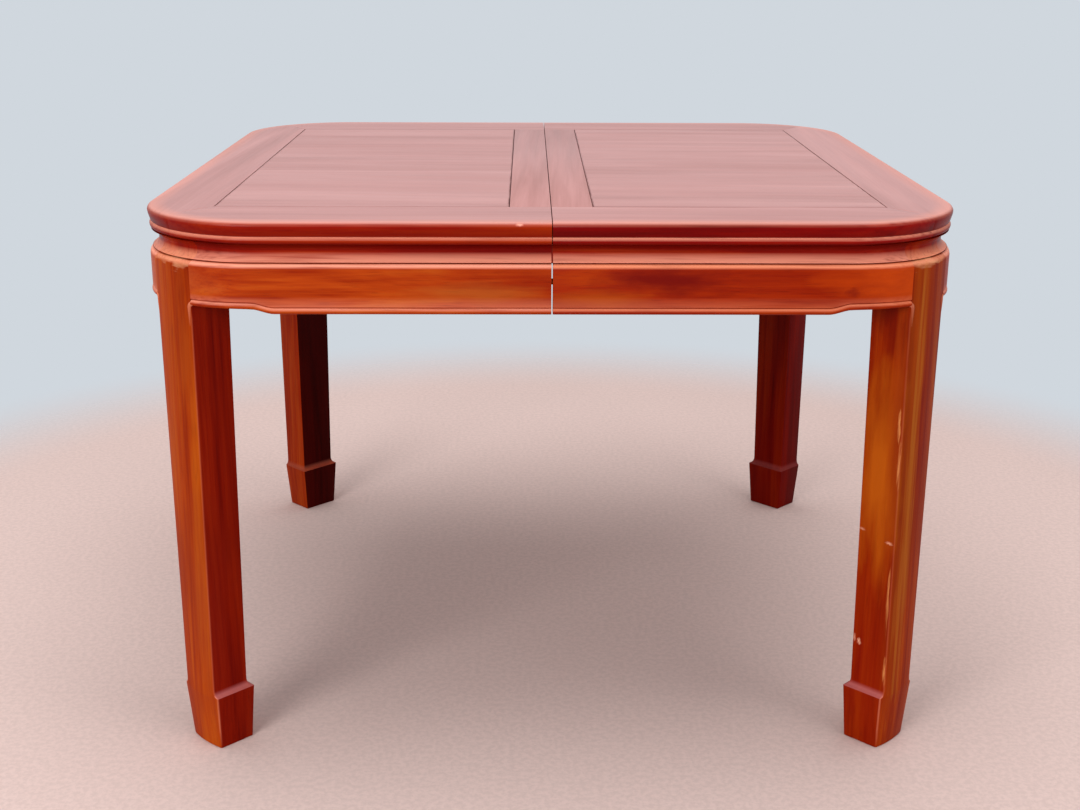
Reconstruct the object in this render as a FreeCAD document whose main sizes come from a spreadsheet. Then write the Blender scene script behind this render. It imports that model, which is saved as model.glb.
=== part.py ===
# Square waisted dining table in rosewood whose top parts in the middle and draws out on wooden slides.
#
# Millimetres. X runs along the way the table draws out, Y from front to back, Z up.
# The origin is on the floor under the middle of the closed table.
# Each half is drawn once, as the right half (positive X), and its twin is a mirror image.

import FreeCAD, Part
import math
import os

import Sketcher

Vector = FreeCAD.Vector
Rotation = FreeCAD.Rotation
Placement = FreeCAD.Placement

doc = FreeCAD.newDocument("ExtensionTable")
sheet = doc.addObject("Spreadsheet::Sheet", "sizes")

driving_sizes = [
    ("tableSpan", 1118, "side of the square top"),
    ("tableHeight", 780, "floor to table top"),
    ("seamGap", 1.2, "gap between the two halves of the top"),
    ("apronSeamGap", 1.8, "gap between the two halves of an apron"),
    ("travel", 510, "how far the halves draw apart"),
    ("topCornerRadius", 178, "plan radius of the top's corners"),
    ("topThickness", 30, "edge thickness of the top frame"),
    ("arrisRound", 4.5, "rounding of the top edge"),
    ("neckInset", 3.2, "how far the edge tapers in above the bead"),
    ("neckDrop", 18.8, "top to neck"),
    ("quirkInset", 4.5, "depth of the line above the bead"),
    ("quirkDrop", 20.1, "top to that line"),
    ("beadRadius", 5.3, "bead under the edge"),
    ("beadFootInset", 7.2, "where the bead meets the underside"),
    ("endFrameWidth", 99.5, "width of the outer frame member"),
    ("railWidth", 120.5, "width of the front and back frame members"),
    ("stileLine", 56.5, "middle of the table to the panel's near edge"),
    ("panelThickness", 18, "top panel"),
    ("panelGap", 1.2, "open line round the panel"),
    ("tongueDrop", 11.4, "top to the panel's tongue"),
    ("tongueThickness", 6, "panel tongue"),
    ("tongueReach", 6, "how far the tongue stands out past the line"),
    ("grooveDepth", 7.5, "groove that holds the tongue"),
    ("grooveEase", 0.1, "play above and below the tongue"),
    ("frameRingWidth", 130, "stock that the frame members are cut from"),
    ("waistHeight", 25, "waist strip"),
    ("apronInset", 3.5, "top edge to apron face"),
    ("apronCornerRadius", 164.5, "plan radius of the apron's corners"),
    ("waistUpperLip", 2.5, "apron face to the waist's upper lip"),
    ("waistLowerLip", 3.5, "apron face to the waist's lower lip"),
    ("waistHollow", 12.6, "radius of the waist's hollow"),
    ("waistThickness", 25.5, "apron face to the waist's back"),
    ("lipGap", 0.5, "shadow line between waist and apron"),
    ("shoulderRound", 7, "rounded upper edge of apron and leg"),
    ("apronDrop", 122.5, "table top to the apron's lower edge"),
    ("apronRise", 6.5, "how much higher the lower edge is beside a leg"),
    ("riseInner", 364, "middle of the table to the start of that rise"),
    ("riseRun", 32, "length of the rise"),
    ("riseRadius", 41, "radius of the rise's two curves"),
    ("apronThickness", 22, "apron board"),
    ("legProud", 2.7, "how far a leg's outer face stands out past the aprons"),
    ("legHalfWidth", 40.3, "half width of a leg at its top"),
    ("legInnerTop", 102.3, "corner centre to a leg's inner face at its top"),
    ("legHalfWidthLow", 34.6, "half width of a leg above its hoof"),
    ("legInnerLow", 106.8, "corner centre to a leg's inner face above its hoof"),
    ("ankleHeight", 95, "floor to where the hoof starts to flare"),
    ("flareHeight", 87.5, "floor to the middle of the flare"),
    ("flareHalfWidth", 37.2, "half width at the middle of the flare"),
    ("flareInner", 103.2, "inner face at the middle of the flare"),
    ("hoofHeight", 84, "floor to the hoof's rim"),
    ("hoofHalfWidth", 41, "half width of the hoof's rim"),
    ("hoofInner", 98.6, "corner centre to the rim's inner face"),
    ("soleHalfWidth", 34.8, "half width of the hoof on the floor"),
    ("soleInner", 102, "corner centre to the sole's inner face"),
    ("soleTuck", 6.5, "how far the outer face tucks in at the floor"),
    ("legTenonNear", 118, "corner centre to a leg's tenon"),
    ("legTenonThickness", 20, "leg tenon"),
    ("legTenonWidth", 44, "leg tenon"),
    ("legTenonHeight", 11, "leg tenon"),
    ("stileTenonNear", 12, "middle of the table to the seam stile's tenon"),
    ("stileTenonWidth", 34, "seam stile's tenon"),
    ("stileTenonReach", 18, "seam stile's tenon"),
    ("stileTenonHeight", 8, "seam stile's tenon"),
    ("stileTenonLift", 2, "underside of the frame to the seam stile's tenon"),
    ("battenInner", 150, "middle of the table to the first batten"),
    ("battenOuter", 330, "middle of the table to the second batten"),
    ("battenWidth", 44, "batten"),
    ("battenLap", 12, "batten thickness under the frame"),
    ("battenReach", 528, "half length of a batten"),
    ("keyWidth", 14, "key that runs in the panel's underside"),
    ("keyHeight", 5, "key that runs in the panel's underside"),
    ("keyReach", 425, "half length of that key"),
    ("blockTail", 60, "corner block's hold on an apron past the corner"),
    ("blockHeight", 50, "corner block"),
    ("blockLift", 14, "apron's lower edge to the corner block"),
    ("slideHalfLength", 450, "half length of a slide member"),
    ("slideThickness", 22, "slide member"),
    ("slideHeight", 40, "slide member"),
    ("slideCentre", 251.5, "middle of the table to the middle of a slide set"),
    ("slideGap", 0.5, "play between slide members"),
    ("slideRelief", 0.8, "play above a slide member that passes a batten"),
    ("reliefOverlap", 30, "where that play starts, past the middle"),
    ("slideTongue", 6.5, "runner tongue"),
    ("slideTongueHeight", 12, "runner tongue"),
    ("stopPinRadius", 2.5, "stop pin"),
    ("stopPinPlace", 150, "middle of the table to a stop pin"),
    ("stopPinInset", 5, "slide rail's running face to a stop pin"),
    ("stopPinHeight", 30, "stop pin"),
    ("stopSlotDepth", 3.8, "slot in a runner's tongue"),
    ("slideScrewInset", 15, "slide rail's running face to its screws"),
    ("slideScrewHead", 4, "radius of a slide screw's head"),
    ("slideScrewHole", 4.5, "radius of the hole that sinks that head"),
    ("slideScrewSink", 15, "depth of that hole"),
    ("slideScrewShank", 2, "radius of a slide screw"),
    ("slideScrewLength", 39, "slide screw"),
    ("screwHeadHeight", 2.5, "head of any screw"),
    ("dowelRadius", 5, "seam dowel in the top"),
    ("dowelHole", 5.4, "hole that it slides into"),
    ("dowelSeat", 22, "dowel's fixed length"),
    ("dowelProud", 18, "dowel's free length"),
    ("dowelRoom", 2, "room past the end of a dowel"),
    ("dowelSpread", 300, "middle of the seam to the outer dowels"),
    ("apronDowelRadius", 4, "seam dowel in an apron"),
    ("apronDowelHole", 4.4, "hole that it slides into"),
    ("apronDowelDrop", 80, "table top to an apron dowel"),
    ("lockSpread", 120, "middle of the seam to a lock"),
    ("lockPivot", 28, "seam to a lock's pivot and to its stud"),
    ("plateNear", 6, "seam to a lock plate"),
    ("plateLength", 47, "lock plate"),
    ("plateWidth", 34, "lock plate"),
    ("plateThickness", 2.5, "lock plate"),
    ("leverHalfWidth", 9, "lock lever"),
    ("leverThickness", 3.9, "lock lever"),
    ("leverGap", 0.3, "play above and below the lever"),
    ("leverTail", 12, "lever past its catch"),
    ("leverGripThickness", 3, "turned-down finger grip"),
    ("leverGripWidth", 14, "turned-down finger grip"),
    ("leverGripDrop", 9, "turned-down finger grip"),
    ("pivotRadius", 3, "lock pivot"),
    ("pivotEase", 0.06, "play of the lever on its pivot"),
    ("pivotHead", 7, "radius of the pivot's head"),
    ("studHead", 6, "radius of the stud's head"),
    ("lockHeadHeight", 2, "pivot's and stud's head"),
    ("studRadius", 4, "keeper stud"),
    ("catchHalfWidth", 5.2, "half width of the catch that takes the stud"),
    ("lockScrewRadius", 1.8, "lock screw"),
    ("lockScrewHead", 3.2, "radius of a lock screw's head"),
    ("lockScrewLength", 14, "lock screw in the wood"),
    ("lockScrewSpread", 11, "middle of a plate to its screws"),
    ("lockScrewInset", 7, "plate's outer edge to its screws"),
]
for row, (alias, number, note) in enumerate(driving_sizes, 1):
    sheet.set(f"A{row}", alias)
    sheet.set(f"B{row}", str(number))
    sheet.set(f"C{row}", note)
    sheet.setAlias(f"B{row}", alias)
doc.recompute()


class Size:
    """A length: its value now, and the expression that ties it to the spreadsheet."""

    def __init__(self, value, text):
        self.value = float(value)
        self.text = text

    def joined(self, other, sign, value, swap=False):
        left, right = self.text, text_of(other)
        if swap:
            left, right = right, left
        return Size(value, f"({left} {sign} {right})")

    def __add__(self, other):
        return self.joined(other, "+", self.value + value_of(other))

    def __radd__(self, other):
        return self.joined(other, "+", value_of(other) + self.value, swap=True)

    def __sub__(self, other):
        return self.joined(other, "-", self.value - value_of(other))

    def __rsub__(self, other):
        return self.joined(other, "-", value_of(other) - self.value, swap=True)

    def __mul__(self, other):
        return self.joined(other, "*", self.value * value_of(other))

    def __rmul__(self, other):
        return self.joined(other, "*", value_of(other) * self.value, swap=True)

    def __truediv__(self, other):
        return self.joined(other, "/", self.value / value_of(other))

    def __neg__(self):
        return Size(-self.value, f"(0 - {self.text})")


def value_of(length):
    return length.value if isinstance(length, Size) else float(length)


def text_of(length):
    return length.text if isinstance(length, Size) else f"({float(length):.10f})"


size = {alias: Size(sheet.get(alias), f"sizes.{alias}") for alias, number, note in driving_sizes}
diagonal = Size(math.sqrt(0.5), "sqrt(0.5)")


# ---- heights and centres that many pieces share

half_span = size["tableSpan"] / 2
top = size["tableHeight"]
frame_underside = top - size["topThickness"]
apron_top = frame_underside - size["waistHeight"]
apron_bottom = top - size["apronDrop"]
raised_bottom = apron_bottom + size["apronRise"]
seam = size["seamGap"] / 2
apron_seam = size["apronSeamGap"] / 2
top_centre = half_span - size["topCornerRadius"]
apron_radius = size["apronCornerRadius"]
apron_centre = half_span - size["apronInset"] - apron_radius
apron_back = apron_radius - size["apronThickness"]
leg_radius = apron_radius + size["legProud"]
panel_end = half_span - size["endFrameWidth"]
panel_side = half_span - size["railWidth"]
panel_underside = top - size["panelThickness"]
slide_top = frame_underside - size["battenLap"]
slide_bottom = slide_top - size["slideHeight"]
clear = 60  # how far a cutting shape runs past what it cuts
past = 2  # the same for small cuts


# ---- drawing helpers


def bind(thing, prop, length):
    """Set a property and tie it to the spreadsheet."""
    if "." not in prop:
        setattr(thing, prop, value_of(length))
    thing.setExpression(prop, text_of(length))


def put(thing, x=0, y=0, z=0, rotation=None):
    """Place an object, with its corner or centre tied to the spreadsheet."""
    turned = rotation or Rotation()
    thing.Placement = Placement(Vector(value_of(x), value_of(y), value_of(z)), turned)
    for axis, length in zip("xyz", (x, y, z)):
        thing.setExpression(f"Placement.Base.{axis}", text_of(length))
    return thing


def body_plane(body, role):
    return next(item for item in body.Origin.OriginFeatures if item.Role == role)


def arc_centre(start, end, radius):
    """Centre of the arc from start to end: on its left for a positive radius, on its right for a negative."""
    middle = (start + end) / 2
    chord = end - start
    reach = math.sqrt(max(radius * radius - chord.Length * chord.Length / 4, 0))
    left = Vector(-chord.y, chord.x, 0).normalize()
    return middle + left * math.copysign(reach, radius)


def outline(body, name, role, corners, rounds=None, shift=(0, 0, 0)):
    """A closed sketch on one of the body's planes. rounds gives the radius of a side that is an arc,
    by the number of the corner it starts from, negative where it turns clockwise."""
    rounds = rounds or {}
    sketch = body.newObject("Sketcher::SketchObject", name)
    sketch.AttachmentSupport = (body_plane(body, role), "")
    sketch.MapMode = "FlatFace"
    for axis, length in zip("xyz", shift):
        sketch.setExpression(f"AttachmentOffset.Base.{axis}", text_of(length))
    points = [Vector(value_of(x), value_of(y), 0) for x, y in corners]
    ends = []
    for side, start in enumerate(points):
        end = points[(side + 1) % len(points)]
        if side not in rounds:
            sketch.addGeometry(Part.LineSegment(start, end))
            ends.append((1, 2))
            continue
        radius = value_of(rounds[side])
        centre = arc_centre(start, end, radius)
        first, last = (start, end) if radius > 0 else (end, start)
        angles = [math.atan2(point.y - centre.y, point.x - centre.x) for point in (first, last)]
        circle = Part.Circle(centre, Vector(0, 0, 1), abs(radius))
        sketch.addGeometry(Part.ArcOfCircle(circle, angles[0], angles[1]))
        ends.append((1, 2) if radius > 0 else (2, 1))
        index = sketch.addConstraint(Sketcher.Constraint("Radius", side, abs(radius)))
        plain = rounds[side] if radius > 0 else -rounds[side]
        sketch.setExpression(f"Constraints[{index}]", text_of(plain))
    for side, (x, y) in enumerate(corners):
        before = (side - 1) % len(corners)
        meeting = Sketcher.Constraint("Coincident", before, ends[before][1], side, ends[side][0])
        sketch.addConstraint(meeting)
        for kind, length in (("DistanceX", x), ("DistanceY", y)):
            place = Sketcher.Constraint(kind, -1, 1, side, ends[side][0], value_of(length))
            index = sketch.addConstraint(place)
            sketch.setExpression(f"Constraints[{index}]", text_of(length))
    return sketch


def pad(body, name, sketch, length, midplane=False, reverse=False):
    feature = body.newObject("PartDesign::Pad", name)
    feature.Profile = sketch
    feature.Midplane = midplane
    feature.Reversed = reverse
    bind(feature, "Length", length)
    return feature


def revolve(body, name, sketch, angle, midplane=False, reverse=False):
    """Turn a sketch about its own vertical axis."""
    feature = body.newObject("PartDesign::Revolution", name)
    feature.Profile = sketch
    feature.ReferenceAxis = (sketch, ["V_Axis"])
    feature.Midplane = midplane
    feature.Reversed = reverse
    feature.Angle = angle
    return feature


def prism(name, corners, low, high, rounds=None):
    """An upright block with the given plan."""
    body = doc.addObject("PartDesign::Body", name)
    sketch = outline(body, f"{name}_plan", "XY_Plane", corners, rounds, (0, 0, low))
    pad(body, f"{name}_pad", sketch, high - low)
    return body


def box(name, low, high):
    block = doc.addObject("Part::Box", name)
    for prop, axis in (("Length", 0), ("Width", 1), ("Height", 2)):
        bind(block, prop, high[axis] - low[axis])
    return put(block, *low)


upright = Rotation()
along_x = Rotation(Vector(0, 1, 0), 90)


def cylinder(name, radius, height, x, y, z, rotation=upright):
    """A cylinder that starts at x, y, z and runs up, or along X."""
    rod = doc.addObject("Part::Cylinder", name)
    bind(rod, "Radius", radius)
    bind(rod, "Height", height)
    return put(rod, x, y, z, rotation)


def cut(name, base, *tools):
    for number, tool in enumerate(tools, 1):
        step = doc.addObject("Part::Cut", name if number == len(tools) else f"{name}_step{number}")
        step.Base = base
        step.Tool = tool
        base = step
    return base


def fuse(name, *pieces):
    joined = doc.addObject("Part::MultiFuse", name)
    joined.Shapes = list(pieces)
    return joined


def shared(name, first, second):
    common = doc.addObject("Part::Common", name)
    common.Base = first
    common.Tool = second
    return common


def group(name, *pieces):
    """Several separate solids in one sub-part."""
    together = doc.addObject("Part::Compound", name)
    together.Links = list(pieces)
    return together


def mirrored(name, source, normal):
    twin = doc.addObject("Part::Mirroring", name)
    twin.Source = source
    twin.Normal = normal
    return twin


across_seam = Vector(1, 0, 0)
front_to_back = Vector(0, 1, 0)
nodes = []


def publish(label, piece):
    """Keep a finished sub-part under its own name."""
    piece.Label = label
    nodes.append(piece)
    return piece


def publish_four(stem, piece):
    """The back right piece and its three mirror images."""
    front = mirrored(f"{stem}_front_right_twin", piece, front_to_back)
    publish(f"{stem}_back_right", piece)
    publish(f"{stem}_front_right", front)
    publish(f"{stem}_back_left", mirrored(f"{stem}_back_left_twin", piece, across_seam))
    publish(f"{stem}_front_left", mirrored(f"{stem}_front_left_twin", front, across_seam))


def publish_pair(stem, piece):
    """The right half's piece and its mirror image in the left half."""
    publish(f"{stem}_right", piece)
    publish(f"{stem}_left", mirrored(f"{stem}_left_twin", piece, across_seam))


# ---- mouldings that run round the right half: straight, corner, straight, corner, straight


def half_ring(name, profile, rounds, centre, near_seam):
    """The profile is given as (distance from the corner's centre, height)."""
    body = doc.addObject("PartDesign::Body", name)
    outward = [(centre + reach, height) for reach, height in profile]
    end = outline(body, f"{name}_end_profile", "XZ_Plane", outward, rounds)
    pad(body, f"{name}_end_run", end, 2 * centre, midplane=True)
    corner = outline(body, f"{name}_corner_profile", "XZ_Plane", profile, rounds, (centre, 0, -centre))
    corner_turn = revolve(body, f"{name}_corner_turn", corner, 90)
    side = outline(body, f"{name}_side_profile", "YZ_Plane", outward, rounds, (0, 0, near_seam))
    side_run = pad(body, f"{name}_side_run", side, centre - near_seam)
    doc.recompute()
    twin = body.newObject("PartDesign::Mirrored", f"{name}_front")
    twin.Originals = [corner_turn, side_run]
    twin.MirrorPlane = (body_plane(body, "XZ_Plane"), [""])
    body.Tip = twin
    return body


def top_ring():
    radius = size["topCornerRadius"]
    inner = radius - size["frameRingWidth"]
    profile = [
        (inner, frame_underside),
        (radius - size["beadFootInset"], frame_underside),
        (radius - size["quirkInset"], top - size["quirkDrop"]),
        (radius - size["neckInset"], top - size["neckDrop"]),
        (radius, top - size["arrisRound"]),
        (radius - size["arrisRound"], top),
        (inner, top),
    ]
    return half_ring("top_ring", profile, {1: size["beadRadius"], 4: size["arrisRound"]}, top_centre, seam)


def waist_profile():
    """From the lower lip up round the hollow to the upper lip."""
    lip = apron_radius - size["waistLowerLip"]
    return [
        (apron_radius - size["shoulderRound"], apron_top),
        (apron_radius - size["shoulderRound"], apron_top + size["lipGap"]),
        (lip, apron_top + size["lipGap"]),
        (apron_radius - size["waistUpperLip"], frame_underside),
    ]


def waist_ring():
    inner = apron_radius - size["waistThickness"]
    profile = [(inner, apron_top)] + waist_profile() + [(inner, frame_underside)]
    return half_ring("waist_ring", profile, {3: -size["waistHollow"]}, apron_centre, seam)


def apron_ring():
    profile = [
        (apron_back, apron_bottom),
        (apron_radius, apron_bottom),
        (apron_radius, apron_top - size["shoulderRound"]),
        (apron_radius - size["shoulderRound"], apron_top),
        (apron_back, apron_top),
    ]
    return half_ring("apron_ring", profile, {2: size["shoulderRound"]}, apron_centre, apron_seam)


# ---- the top: two mitred rails and an outer member round a floating panel, and a stile at the seam


def panel_groove():
    depth, play = size["grooveDepth"], size["grooveEase"]
    reach, side = panel_end + depth, panel_side + depth
    floor = top - size["tongueDrop"] - size["tongueThickness"] - play
    roof = top - size["tongueDrop"] + play
    return box("panel_groove", (size["stileLine"] - depth, -side, floor), (reach, side, roof))


def stile_tenon():
    near = size["stileTenonNear"]
    side = panel_side + size["stileTenonReach"]
    floor = frame_underside + size["stileTenonLift"]
    roof = floor + size["stileTenonHeight"]
    return box("stile_tenon", (near, -side, floor), (near + size["stileTenonWidth"], side, roof))


def leg_mortise(name, front):
    """The space that a leg's tenon fills in the frame above it."""
    near, wide = size["legTenonNear"], size["legTenonWidth"] / 2
    block = doc.addObject("Part::Box", name)
    bind(block, "Length", size["legTenonThickness"])
    bind(block, "Width", size["legTenonWidth"])
    bind(block, "Height", size["legTenonHeight"])
    if front:
        x, y = apron_centre + (near - wide) * diagonal, -(apron_centre + (near + wide) * diagonal)
        return put(block, x, y, frame_underside, Rotation(Vector(0, 0, 1), -45))
    x, y = apron_centre + (near + wide) * diagonal, apron_centre + (near - wide) * diagonal
    return put(block, x, y, frame_underside, Rotation(Vector(0, 0, 1), 45))


def build_top():
    low, high = frame_underside - clear, top + clear
    opening = box("panel_opening", (-clear, -panel_side, low), (panel_end, panel_side, high))
    groove = panel_groove()
    tenon = stile_tenon()
    mortises = [leg_mortise("leg_mortise_back", False), leg_mortise("leg_mortise_front", True)]
    frame = cut("frame_stock", top_ring(), opening, groove, tenon, *mortises)

    corner = top_centre + size["topCornerRadius"] * diagonal
    far_x, far_y = 2 * corner - panel_end, 2 * corner - panel_side
    inside_x, inside_y = panel_end - clear / 3, panel_side - clear / 3
    outside = half_span + clear
    end_plan = [
        (panel_end, panel_side),
        (inside_x, inside_y),
        (inside_x, -inside_y),
        (panel_end, -panel_side),
        (far_x, -far_y),
        (outside, -far_y),
        (outside, far_y),
        (far_x, far_y),
    ]
    rail_plan = [
        (panel_end, panel_side),
        (far_x, far_y),
        (far_x, outside),
        (-clear, outside),
        (-clear, inside_y),
        (inside_x, inside_y),
    ]
    end_region = prism("end_frame_region", end_plan, low, high)
    rail_region = prism("rail_region", rail_plan, low, high)
    publish_pair("end_frame", shared("end_frame", frame, end_region))
    publish_four("top_rail", shared("top_rail", frame, rail_region))

    stile = box("stile_board", (seam, -panel_side, frame_underside), (size["stileLine"], panel_side, top))
    stile_core = cut("stile_core", fuse("stile_with_tenons", stile, tenon), groove)
    return stile_core, mirrored("stile_core_left", stile_core, across_seam)


def build_panels():
    gap, reach = size["panelGap"], size["tongueReach"]
    near, end, side = size["stileLine"] + gap, panel_end - gap, panel_side - gap
    board = box("panel_board", (near, -side, panel_underside), (end, side, top))
    tongue_top = top - size["tongueDrop"]
    tongue_low = (near - gap - reach, -(side + gap + reach), tongue_top - size["tongueThickness"])
    tongue = box("panel_tongue", tongue_low, (end + gap + reach, side + gap + reach, tongue_top))
    keys = [panel_key(f"key_slot_{name}", size[name]) for name in ("battenInner", "battenOuter")]
    publish_pair("top_panel", cut("top_panel", fuse("panel_blank", board, tongue), *keys))


def panel_key(name, x):
    half, reach = size["keyWidth"] / 2, size["keyReach"]
    key_top = panel_underside + size["keyHeight"]
    return box(name, (x - half, -reach, panel_underside), (x + half, reach, key_top))


def build_batten(label, x, screw_side, direction):
    """A cross batten, keyed into the panel above it and lapped under the front and back rails."""
    half = size["battenWidth"] / 2
    low = (x - half, -panel_side, slide_top)
    middle = box(f"{label}_middle", low, (x + half, panel_side, panel_underside))
    reach = size["battenReach"]
    lap = box(f"{label}_lap", (x - half, -reach, slide_top), (x + half, reach, frame_underside))
    blank = fuse(f"{label}_blank", middle, lap, panel_key(f"{label}_key", x))
    ends = slide_screw_top() - slide_top
    holes = []
    for number, side in enumerate((screw_side, -screw_side)):
        holes.append(cylinder(f"{label}_hole{number}", size["slideScrewShank"], ends, x, side, slide_top))
    publish(label, cut(f"{label}_{direction}_board", blank, *holes))


# ---- waist, aprons, legs and corner blocks

region_margin = 25  # how far a region's slanting edge runs past the boards it divides
skin_angle = 40  # degrees that a leg's outer face is turned through, more than the leg is wide


def side_region(name):
    """The plan between the seam and the flat side of the back leg."""
    near, far, wide = size["legInnerTop"] - region_margin, apron_radius + region_margin, size["legHalfWidth"]
    near_x, near_y = apron_centre + (near - wide) * diagonal, apron_centre + (near + wide) * diagonal
    far_x, far_y = apron_centre + (far - wide) * diagonal, apron_centre + (far + wide) * diagonal
    outside = half_span + clear
    plan = [(near_x, near_y), (far_x, far_y), (apron_centre, outside), (-clear, outside), (-clear, near_y)]
    region = prism(name, plan, apron_bottom - clear, frame_underside + clear)
    return region, (near_x, near_y), (far_x, far_y)


def build_waist_and_aprons():
    back_region, near, far = side_region("back_region")
    outside = half_span + clear
    end_plan = [
        (near[1], near[0]),
        (near[1], -near[0]),
        (far[1], -far[0]),
        (outside, -apron_centre),
        (outside, apron_centre),
        (far[1], far[0]),
    ]
    end_region = prism("end_region", end_plan, apron_bottom - clear, frame_underside + clear)

    waist = waist_ring()
    publish_four("waist_strip", shared("waist_back", waist, back_region))
    publish_pair("waist_strip_end", shared("waist_end", waist, end_region))

    apron = apron_ring()
    back_stock = shared("apron_back_stock", apron, back_region)
    back_blank = cut("apron_back_blank", back_stock, rise_cutter("back_rise", "XZ_Plane", 1))
    risers = [rise_cutter("end_rise_back", "YZ_Plane", 1), rise_cutter("end_rise_front", "YZ_Plane", -1)]
    publish_pair("apron_end", cut("apron_end", shared("apron_end_stock", apron, end_region), *risers))
    return back_blank


def rise_cutter(name, role, sign):
    """What is cut away below an apron beside a leg: the lower edge rises there in an S of two arcs."""
    body = doc.addObject("PartDesign::Body", name)
    start, run, rise = size["riseInner"], size["riseRun"], size["apronRise"]
    below = apron_bottom - clear
    bend = size["riseRadius"]
    corners = [
        (start, below),
        (half_span, below),
        (half_span, raised_bottom),
        (start + run, raised_bottom),
        (start + run / 2, apron_bottom + rise / 2),
        (start, apron_bottom),
    ]
    rounds = {3: bend, 4: -bend}
    if sign < 0:
        corners = [(-across, height) for across, height in corners]
        rounds = {3: -bend, 4: bend}
    sketch = outline(body, f"{name}_plan", role, corners, rounds)
    pad(body, f"{name}_pad", sketch, 2 * (half_span + clear), midplane=True)
    return body


def leg_skin():
    """A leg's rounded outer face, turned about the corner's centre, with the waist and shoulder on it."""
    body = doc.addObject("PartDesign::Body", "leg_skin")
    inner = size["hoofInner"] - clear / 2
    shoulder = size["shoulderRound"] + size["legProud"]
    profile = [
        (inner, 0),
        (leg_radius - size["soleTuck"], 0),
        (leg_radius, size["hoofHeight"]),
        (leg_radius, apron_top - shoulder),
    ] + waist_profile() + [(inner, frame_underside)]
    rounds = {3: shoulder, 6: -size["waistHollow"]}
    sketch = outline(body, "leg_skin_profile", "XZ_Plane", profile, rounds)
    revolve(body, "leg_skin_turn", sketch, skin_angle, midplane=True)
    return body


def leg_core():
    """A leg's three flat faces: a slow taper down to the ankle, then the hoof's flare and sole."""
    body = doc.addObject("PartDesign::Body", "leg_core")
    levels = [
        (Size(0, "0"), "soleInner", "soleHalfWidth"),
        (size["hoofHeight"], "hoofInner", "hoofHalfWidth"),
        (size["flareHeight"], "flareInner", "flareHalfWidth"),
        (size["ankleHeight"], "legInnerLow", "legHalfWidthLow"),
        (apron_bottom, "legInnerTop", "legHalfWidth"),
        (frame_underside, "legInnerTop", "legHalfWidth"),
    ]
    outer = apron_radius + clear
    sketches = []
    for number, (height, inner, half) in enumerate(levels):
        near, wide = size[inner], size[half]
        plan = [(near, -wide), (outer, -wide), (outer, wide), (near, wide)]
        sketches.append(outline(body, f"leg_level{number}", "XY_Plane", plan, None, (0, 0, height)))
    loft = body.newObject("PartDesign::AdditiveLoft", "leg_core_loft")
    loft.Profile = sketches[0]
    loft.Sections = sketches[1:]
    loft.Ruled = True
    return body


def build_legs():
    near, wide = size["legTenonNear"], size["legTenonWidth"] / 2
    far, tenon_top = near + size["legTenonThickness"], frame_underside + size["legTenonHeight"]
    tenon = box("leg_tenon", (near, -wide, frame_underside), (far, wide, tenon_top))
    post = shared("leg_post", leg_skin(), leg_core())
    corners = {"back_right": 45, "back_left": 135, "front_left": 225, "front_right": 315}
    for corner, angle in corners.items():
        leg = fuse(f"leg_{corner}_post", post, tenon)
        side_x = 1 if "right" in corner else -1
        side_y = 1 if "back" in corner else -1
        turn = Rotation(Vector(0, 0, 1), angle)
        publish(f"leg_{corner}", put(leg, side_x * apron_centre, side_y * apron_centre, 0, turn))


def build_corner_blocks():
    """A glue block behind each leg, from apron to apron."""
    near, wide, tail = size["legInnerTop"], size["legHalfWidth"], size["blockTail"]
    short, long, back = (near - wide) * diagonal, (near + wide) * diagonal, apron_back
    reach = [(-tail, back), (0, back), (short, long), (long, short), (back, 0), (back, -tail)]
    plan = [(apron_centre + across, apron_centre + along) for across, along in reversed(reach)]
    low = apron_bottom + size["blockLift"]
    publish_four("corner_block", prism("corner_block", plan, low, low + size["blockHeight"]))


# ---- seam dowels and the pieces that they join


def build_seam(back_blank, stile_right, stile_left):
    dowel_height = (top + frame_underside) / 2
    seat, proud = size["dowelSeat"], size["dowelProud"]
    dowels, seats, sockets = [], [], []
    for number, spread in enumerate((-size["dowelSpread"], Size(0, "0"), size["dowelSpread"])):
        at = (spread, dowel_height, along_x)
        dowels.append(cylinder(f"dowel{number}", size["dowelRadius"], seat + proud, seam - proud, *at))
        seats.append(cylinder(f"dowel_seat{number}", size["dowelRadius"], seat, seam, *at))
        socket = proud + size["dowelRoom"]
        sockets.append(cylinder(f"dowel_socket{number}", size["dowelHole"], socket, -seam - socket, *at))
    publish("seam_dowels", group("seam_dowels", *dowels))

    at = (apron_centre + apron_back + size["apronThickness"] / 2, top - size["apronDowelDrop"], along_x)
    rod, hole = size["apronDowelRadius"], size["apronDowelHole"]
    back_dowel = cylinder("apron_dowel", rod, seat + proud, apron_seam - proud, *at)
    front_dowel = mirrored("apron_dowel_front", back_dowel, front_to_back)
    publish("apron_dowels", group("apron_dowels", back_dowel, front_dowel))
    right_hole = cylinder("apron_dowel_seat", rod, seat, apron_seam, *at)
    apron_right = cut("apron_back_right_board", back_blank, right_hole)
    blank_left = mirrored("apron_back_left_blank", back_blank, across_seam)
    socket = proud + size["dowelRoom"]
    left_hole = cylinder("apron_dowel_socket", hole, socket, -apron_seam - socket, *at)
    apron_left = cut("apron_back_left_board", blank_left, left_hole)
    for side, apron in (("right", apron_right), ("left", apron_left)):
        publish(f"apron_back_{side}", apron)
        publish(f"apron_front_{side}", mirrored(f"apron_front_{side}_twin", apron, front_to_back))

    holes = lock_screw_holes()
    publish("seam_stile_right", cut("seam_stile_right_board", stile_right, *seats, *holes["right"]))
    publish("seam_stile_left", cut("seam_stile_left_board", stile_left, *sockets, *holes["left"]))


# ---- slides: a rail under each half and a runner between them, in a front and a back set


def slide_screw_top():
    return slide_bottom + size["slideScrewSink"] + size["slideScrewLength"]


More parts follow.
